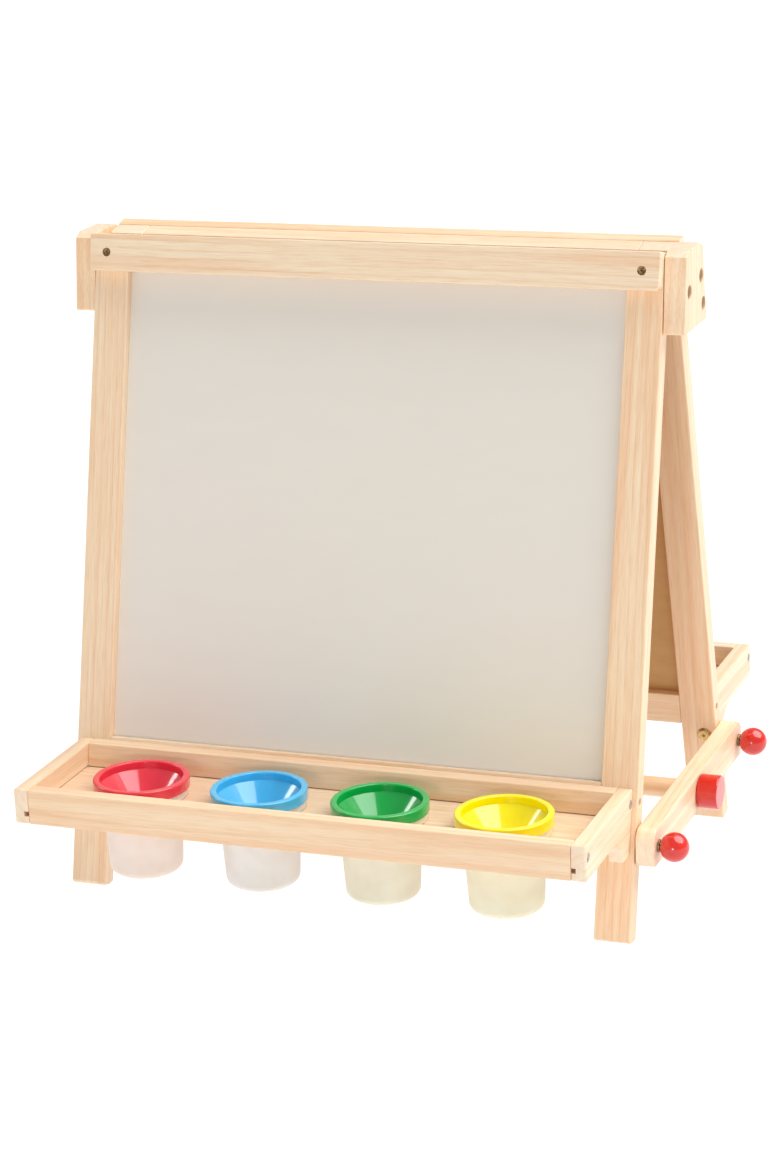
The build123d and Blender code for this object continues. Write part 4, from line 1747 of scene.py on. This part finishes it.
@dataclass
class Spreader:
    """The two bars across the legs, the paper rod between them, and the knobs that hold them."""

    stance: Stance
    finishes: Finishes
    first_board: int
    height: float = 30.0
    half_length: float = 131.0
    top_radius: float = 10.0
    bottom_radius: float = 6.0
    rod_radius: float = 8.0
    rod_grip: float = 10.0
    cap_radius: float = 13.75
    cap_length: float = 16.5
    cap_gap: float = 0.4
    ball_radius: float = 11.5
    ball_flat_radius: float = 6.5
    ball_gap: float = 3.2
    stud_radius: float = 3.0
    stud_grip: float = 9.0
    running_gap: float = 0.06
    insert_length: float = 11.0
    washer_radius: float = 5.0
    washer_hole: float = 3.4
    washer_thickness: float = 1.6
    washer_gap: float = 0.4

    def build(self) -> None:
        """Build the bars, the rod and the knobs."""
        for hand in Hand:
            self._bar(hand)
            self._rod_cap(hand)
            for side in Side:
                self._knob(side, hand)
                self._stud(side, hand)
        self._washers()
        self._rod()

    def _axle(self, hand: Hand, x: float) -> Matrix:
        """Frame on the paper rod's axis, looking out."""
        return side_plane(hand, x, 0, self.stance.axle_height)

    def _pin(self, side: Side, hand: Hand, x: float) -> Matrix:
        """Frame on a knob's axis, looking out."""
        return side_plane(hand, x, side.value * self.stance.knob_y, self.stance.axle_height)

    def _bar(self, hand: Hand) -> None:
        """Build one bar with rounded ends.

        Args:
            hand: the end of the easel it crosses.
        """
        low = self.stance.axle_height - self.height / 2
        high = low + self.height
        outline = rounded(
            [
                (-self.half_length, low, self.bottom_radius),
                (self.half_length, low, self.bottom_radius),
                (self.half_length, high, self.top_radius),
                (-self.half_length, high, self.top_radius),
            ],
            8,
        )
        inner, outer = self.stance.bar_inner_x, self.stance.bar_outer_x
        start = inner if hand is Hand.RIGHT else -outer
        place = upright(start)
        through = self.stance.bar_thickness + 2
        bored = self.stud_radius + self.running_gap
        cutters = [bore(self._pin(side, hand, outer), bored, through, edge=0.3) for side in Side]
        cutters.append(bore(self._axle(hand, outer), self.rod_radius + self.running_gap, through, edge=0.4))
        bar = Board(
            f"spreader-{hand.word}",
            place,
            outline,
            self.stance.bar_thickness,
            (0, 1, 2),
            Sawing.of(Cut.FLAT, self.first_board + (hand is Hand.RIGHT)),
            edge=1.2,
            end_edge=1.2,
            cutters=cutters,
        )
        mount(bar.make(self.finishes.pine), "spreader", "pine", f"spreader_{hand.word}")

    def _rod(self) -> None:
        """Build the dowel that carries a roll of paper."""
        half = self.stance.bar_outer_x + self.cap_gap + self.rod_grip
        place = self._axle(Hand.RIGHT, 0)
        stick = lathed(
            [(0, -half), (self.rod_radius - 1, -half), (self.rod_radius, 1 - half)]
            + [(self.rod_radius, half - 1), (self.rod_radius - 1, half), (0, half)],
            64,
        )
        stick.transform(place)
        rod = shape("roll-rod", stick, crease=TURNED_CREASE)
        mark_grain(rod, place, (2, 0, 1), Sawing.of(Cut.FLAT, self.first_board + 2))
        rod.data.materials.append(self.finishes.pine)
        mount(put(rod, Matrix.Identity(4)), "paper_rod", "pine", "roll_rod")

    def _rod_cap(self, hand: Hand) -> None:
        """Turn the round cap on one end of the rod.

        Args:
            hand: which end.
        """
        length, radius = self.cap_length, self.cap_radius
        grip = self.rod_grip
        outline = rounded(
            [
                (0, length, 0),
                (radius, length, 1.1),
                (radius, 0, 1.4),
                (self.rod_radius + self.running_gap, 0, 0.4),
                (self.rod_radius + self.running_gap, grip, 0),
                (0, grip, 0),
            ],
            5,
        )
        place = self._axle(hand, self.stance.bar_outer_x + self.cap_gap)
        word = hand.word
        cap = turned(f"rod-cap-{word}", outline, [place], self.finishes.red, 128)
        mount(cap, "paper_rod", "red_paint", f"rod_cap_{word}")

    def _knob(self, side: Side, hand: Hand) -> None:
        """Turn a ball knob, flat towards the bar.

        Args:
            side: the frame it is beside.
            hand: the bar it is on.
        """
        sink = sqrt(self.ball_radius**2 - self.ball_flat_radius**2)
        start = asin(self.ball_flat_radius / self.ball_radius)
        steps = 40
        turns = [start + (pi - start) * step / steps for step in range(steps + 1)]
        ball = [(self.ball_radius * sin(a), -self.ball_radius * cos(a)) for a in turns]
        ball[-1] = (0.0, self.ball_radius)
        bored = self.stud_radius + self.running_gap
        mouth = [(0, self.stud_grip - sink), (bored, self.stud_grip - sink), (bored, 0.5 - sink)]
        mouth += [(bored + 0.5, -sink), (self.ball_flat_radius - 0.5, -sink)]
        ball[0] = (self.ball_flat_radius + 0.15, 0.25 - sink)
        place = self._pin(side, hand, self.stance.bar_outer_x + self.ball_gap + sink)
        word = f"{side.word}_knob_{hand.word}"
        knob = turned(word.replace("_", "-"), mouth + ball, [place], self.finishes.red, 96)
        mount(knob, word, "red_paint", word)

    def _stud(self, side: Side, hand: Hand) -> None:
        """Make a knob's stud: the rear pair reach into the legs, the front pair stop in the bars.

        Args:
            side: the frame its knob is beside.
            hand: the bar it goes through.
        """
        leg = self.stance.bar_gap + self.stance.bar_thickness + self.insert_length - 1
        reach = leg if side is Side.REAR else self.stance.bar_thickness
        top = self.ball_gap + self.stud_grip - 0.2
        r = self.stud_radius
        profile = [(0, top), (r - 0.3, top), (r, top - 0.3)]
        ridge = top - 1.0
        while ridge > 1.5 - reach:
            profile += [(r, ridge), (r - 0.3, ridge - 0.35), (r - 0.3, ridge - 0.5), (r, ridge - 0.85)]
            ridge -= 1.0
        profile += [(r - 0.6, -reach), (0, -reach)]
        word = f"{side.word}_knob_{hand.word}"
        node_name = f"{side.word}_knob_stud_{hand.word}"
        place = self._pin(side, hand, self.stance.bar_outer_x)
        stud = turned(node_name.replace("_", "-"), profile, [place], self.finishes.zinc, 32)
        mount(stud, word, "zinc_steel", node_name)

    def _washers(self) -> None:
        """Lay the washers between the knobs and the bars; their dark antique brass also paints the shade in
        the gap between knob and bar.
        """
        outline = rounded(
            [
                (self.washer_hole, 0, 0.2),
                (self.washer_radius, 0, 0.2),
                (self.washer_radius, self.washer_thickness, 0.4),
                (self.washer_hole, self.washer_thickness, 0.3),
            ],
            3,
        )
        x = self.stance.bar_outer_x + self.washer_gap
        places = [self._pin(side, hand, x) for hand in Hand for side in Side]
        # dark antique brass: a real finish, and also painted shade for the gap between knob and bar
        rings = turned("knob-washers", outline, places, self.finishes.dark_brass, 64)
        mount(rings, "spreader", "brass", "knob_washers")


@dataclass
class PaintCup:
    """A tapered cup that hangs by its shoulder in the tray floor, and its funnel lid."""

    number: int
    colour: PaintColour
    centre: Vector
    bottom: float = 38.8
    bottom_radius: float = 28.6
    floor_radius: float = 32.0
    wall: float = 1.5
    corner: float = 6.0
    shoulder: float = 100.3
    neck_radius: float = 36.0
    neck_top: float = 112.9
    lid_radius: float = 38.0
    lid_top: float = 115.8
    lid_wall: float = 1.5
    lid_skirt: float = 106.8
    lid_fit: float = 0.35
    funnel_top: float = 109.5
    hole_radius: float = 10.5
    hole_z: float = 86.5

    def build(self) -> None:
        """Build the cup and its lid."""
        axis = plane(self.centre, Vector((1, 0, 0)), Vector((0, 0, 1)))
        cup = turned(f"paint-cup-{self.number}", self._cup_section(), [axis], self.colour.cup(), 128)
        mount(cup, f"cup_{self.number}", "cup_plastic", f"paint_cup_{self.number}")
        lid = turned(f"cup-lid-{self.number}", self._lid_section(), [axis], self.colour.lid(), 128)
        mount(lid, f"lid_{self.number}", self.colour.title + "_lid", f"cup_lid_{self.number}")

    def _cup_section(self) -> list[tuple[float, float]]:
        """Half of the cup's section, with a shallow foot ring under its base.

        Returns:
            Radius and height of each point, in order.
        """
        wall = self.wall
        return rounded(
            [
                (0, self.bottom + 0.9, 0),
                (self.bottom_radius - 8.0, self.bottom + 0.9, 0.8),
                (self.bottom_radius - 7.0, self.bottom, 0.4),
                (self.bottom_radius, self.bottom, self.corner),
                (self.floor_radius, self.shoulder, 0.8),
                (self.neck_radius, self.shoulder, 1.0),
                (self.neck_radius, self.neck_top, 0.6),
                (self.neck_radius - wall, self.neck_top, 0.6),
                (self.neck_radius - wall, self.shoulder + wall, 0.8),
                (self.floor_radius - wall, self.shoulder + wall, 1.2),
                (self.bottom_radius - wall, self.bottom + wall + 0.9, self.corner - wall),
                (0, self.bottom + wall + 0.9, 0),
            ],
            6,
        )

    def _lid_section(self) -> list[tuple[float, float]]:
        """Half of the lid's section: a rim that grips the cup's neck, and a funnel to the brush hole.

        Returns:
            Radius and height of each point, in order.
        """
        inside = self.neck_radius - self.wall - self.lid_fit
        outside = self.neck_radius + self.lid_fit
        web = self.neck_top + self.lid_fit
        throat = inside - self.lid_wall
        return rounded(
            [
                (outside, self.lid_skirt, 0.3),
                (self.lid_radius, self.lid_skirt, 0.6),
                (self.lid_radius, self.lid_top, 1.5),
                (throat, self.lid_top, 1.2),
                (throat, self.funnel_top, 0.8),
                (self.hole_radius, self.hole_z, 0.9),
                (self.hole_radius, self.hole_z - 1.4 * self.lid_wall, 0.4),
                (inside, self.funnel_top - self.lid_wall / 2, 0.6),
                (inside, web, 0.2),
                (outside, web, 0.2),
            ],
            5,
        )


@dataclass
class Studio:
    """A pale floor, a soft even light brighter from the right and above, and the camera."""

    floor_half: float = 40.0
    floor_colour: str = "#6E6D6B"
    floor_shade: str = "#6B6A68"
    floor_glow: float = 1.0          # the floor is a light table, so that it shows white with no shadow
    sky: float = 0.34
    sun: float = 3.5
    sun_spread: float = 60.0
    sun_place: tuple[float, float, float] = (1.15, 0.5, 2.2)
    soft_boxes: tuple[tuple[str, float, float, tuple[float, float, float]], ...] = (
        # Name, width in metres, power in watts, and place.
        ("right soft box", 0.35, 4.0, (2.6, 0.1, 1.9)),
        ("front soft box", 0.4, 11.0, (0.35, -2.6, 0.35)),
        ("left soft box", 0.6, 9.0, (-2.4, 0.25, 1.5)),
    )
    aim: tuple[float, float, float] = (0.0, 0.0, 0.2)
    camera_place: tuple[float, float, float] = (0.87812, -2.26377, 0.98267)
    camera_right: tuple[float, float, float] = (0.93541, 0.35127, -0.04035)
    camera_up: tuple[float, float, float] = (-0.06833, 0.29156, 0.95411)
    lens: float = 96.94
    sensor: float = 36.0

    def build(self) -> None:
        """Set the floor, the lights and the camera."""
        self._floor()
        self._light()
        self._camera()
        bpy.context.scene.view_settings.view_transform = "Standard"

    def _floor(self) -> None:
        """Lay the floor."""
        bm = bmesh.new()
        bmesh.ops.create_grid(bm, x_segments=8, y_segments=8, size=self.floor_half)
        floor = as_object(bm, "studio-floor")
        material, tree, surface = new_material("matt acrylic light table")
        place = node(tree, "NewGeometry").outputs["Position"]
        clouds = node(tree, "TexNoise", {"Scale": 3.0, "Detail": 2.0}, Vector=place)
        stops = [(0.3, self.floor_colour), (0.8, self.floor_shade)]
        frosting = node(tree, "ValToRGB", {"stops": stops}, i0=clouds.outputs[0])
        tree.links.new(frosting.outputs[0], surface.inputs["Base Color"])
        white = (1.0, 1.0, 1.0, 1.0)
        set_inputs(surface, {"Roughness": 0.95, "Emission Color": white, "Specular IOR Level": 0.1})
        set_inputs(surface, {"Emission Strength": self.floor_glow})
        floor.data.materials.append(material)

    def _light(self) -> None:
        """Hang the sky, a very wide sun and three soft boxes whose shine shows on the round pieces."""
        world = bpy.data.worlds.new("white studio")
        world.use_nodes = True
        tree = world.node_tree
        seen = node(tree, "LightPath").outputs["Is Camera Ray"]
        strength = node(tree, "MapRange", {3: self.sky, 4: 1.0}, i0=seen)
        backdrop = tree.nodes["Background"]
        backdrop.inputs[0].default_value = (1.0, 1.0, 1.0, 1.0)
        tree.links.new(strength.outputs[0], backdrop.inputs[1])
        bpy.context.scene.world = world
        sun = bpy.data.lights.new("wide key", "SUN")
        sun.energy = self.sun
        sun.angle = radians(self.sun_spread)
        self._hang(sun, Vector(self.sun_place), Vector((0, 0, 0)))
        for name, size, power, spot in self.soft_boxes:
            box = bpy.data.lights.new(name, "AREA")
            box.shape = "SQUARE"
            box.size = size
            box.energy = power
            self._hang(box, Vector(spot), Vector(self.aim))

    def _hang(self, light: bpy.types.Light, spot: Vector, target: Vector) -> None:
        """Put a light in its place, looking at a target.

        Args:
            light: the light.
            spot: its place, in metres.
            target: the point it looks at.
        """
        lamp = bpy.data.objects.new(light.name, light)
        lamp.location = spot
        lamp.rotation_euler = (target - spot).to_track_quat("-Z", "Y").to_euler()
        bpy.context.scene.collection.objects.link(lamp)

    def _camera(self) -> None:
        """Set up the camera."""
        data = bpy.data.cameras.new("studio camera")
        data.sensor_fit = "VERTICAL"
        data.sensor_height = self.sensor
        data.lens = self.lens
        data.clip_end = 200.0
        camera = bpy.data.objects.new("studio camera", data)
        place = basis(Vector(self.camera_place), Vector(self.camera_right), Vector(self.camera_up))
        camera.matrix_world = place
        bpy.context.scene.collection.objects.link(camera)
        bpy.context.scene.camera = camera


def main() -> None:
    """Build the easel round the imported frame, and the studio it stands in."""
    logging.basicConfig(level=logging.INFO, format="%(message)s")
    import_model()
    stance = Stance()
    finishes = Finishes()
    trays = {}
    for number, side in enumerate(Side):
        EaselFrame(side, stance, finishes, 20 * number).build()
        trays[side] = Tray(side, stance, finishes, 20 * number + 10)
        trays[side].build()
    Hinge(stance, finishes, 50).build()
    Spreader(stance, finishes, 60).build()
    row = -trays[Side.FRONT].cup_row
    for number, colour in enumerate(PaintColour):
        x = trays[Side.FRONT].cup_spacing * (number - 1.5)
        PaintCup(number + 1, colour, Vector((x, row, 0))).build()
    Studio().build()


if __name__ == "__main__":
    main()
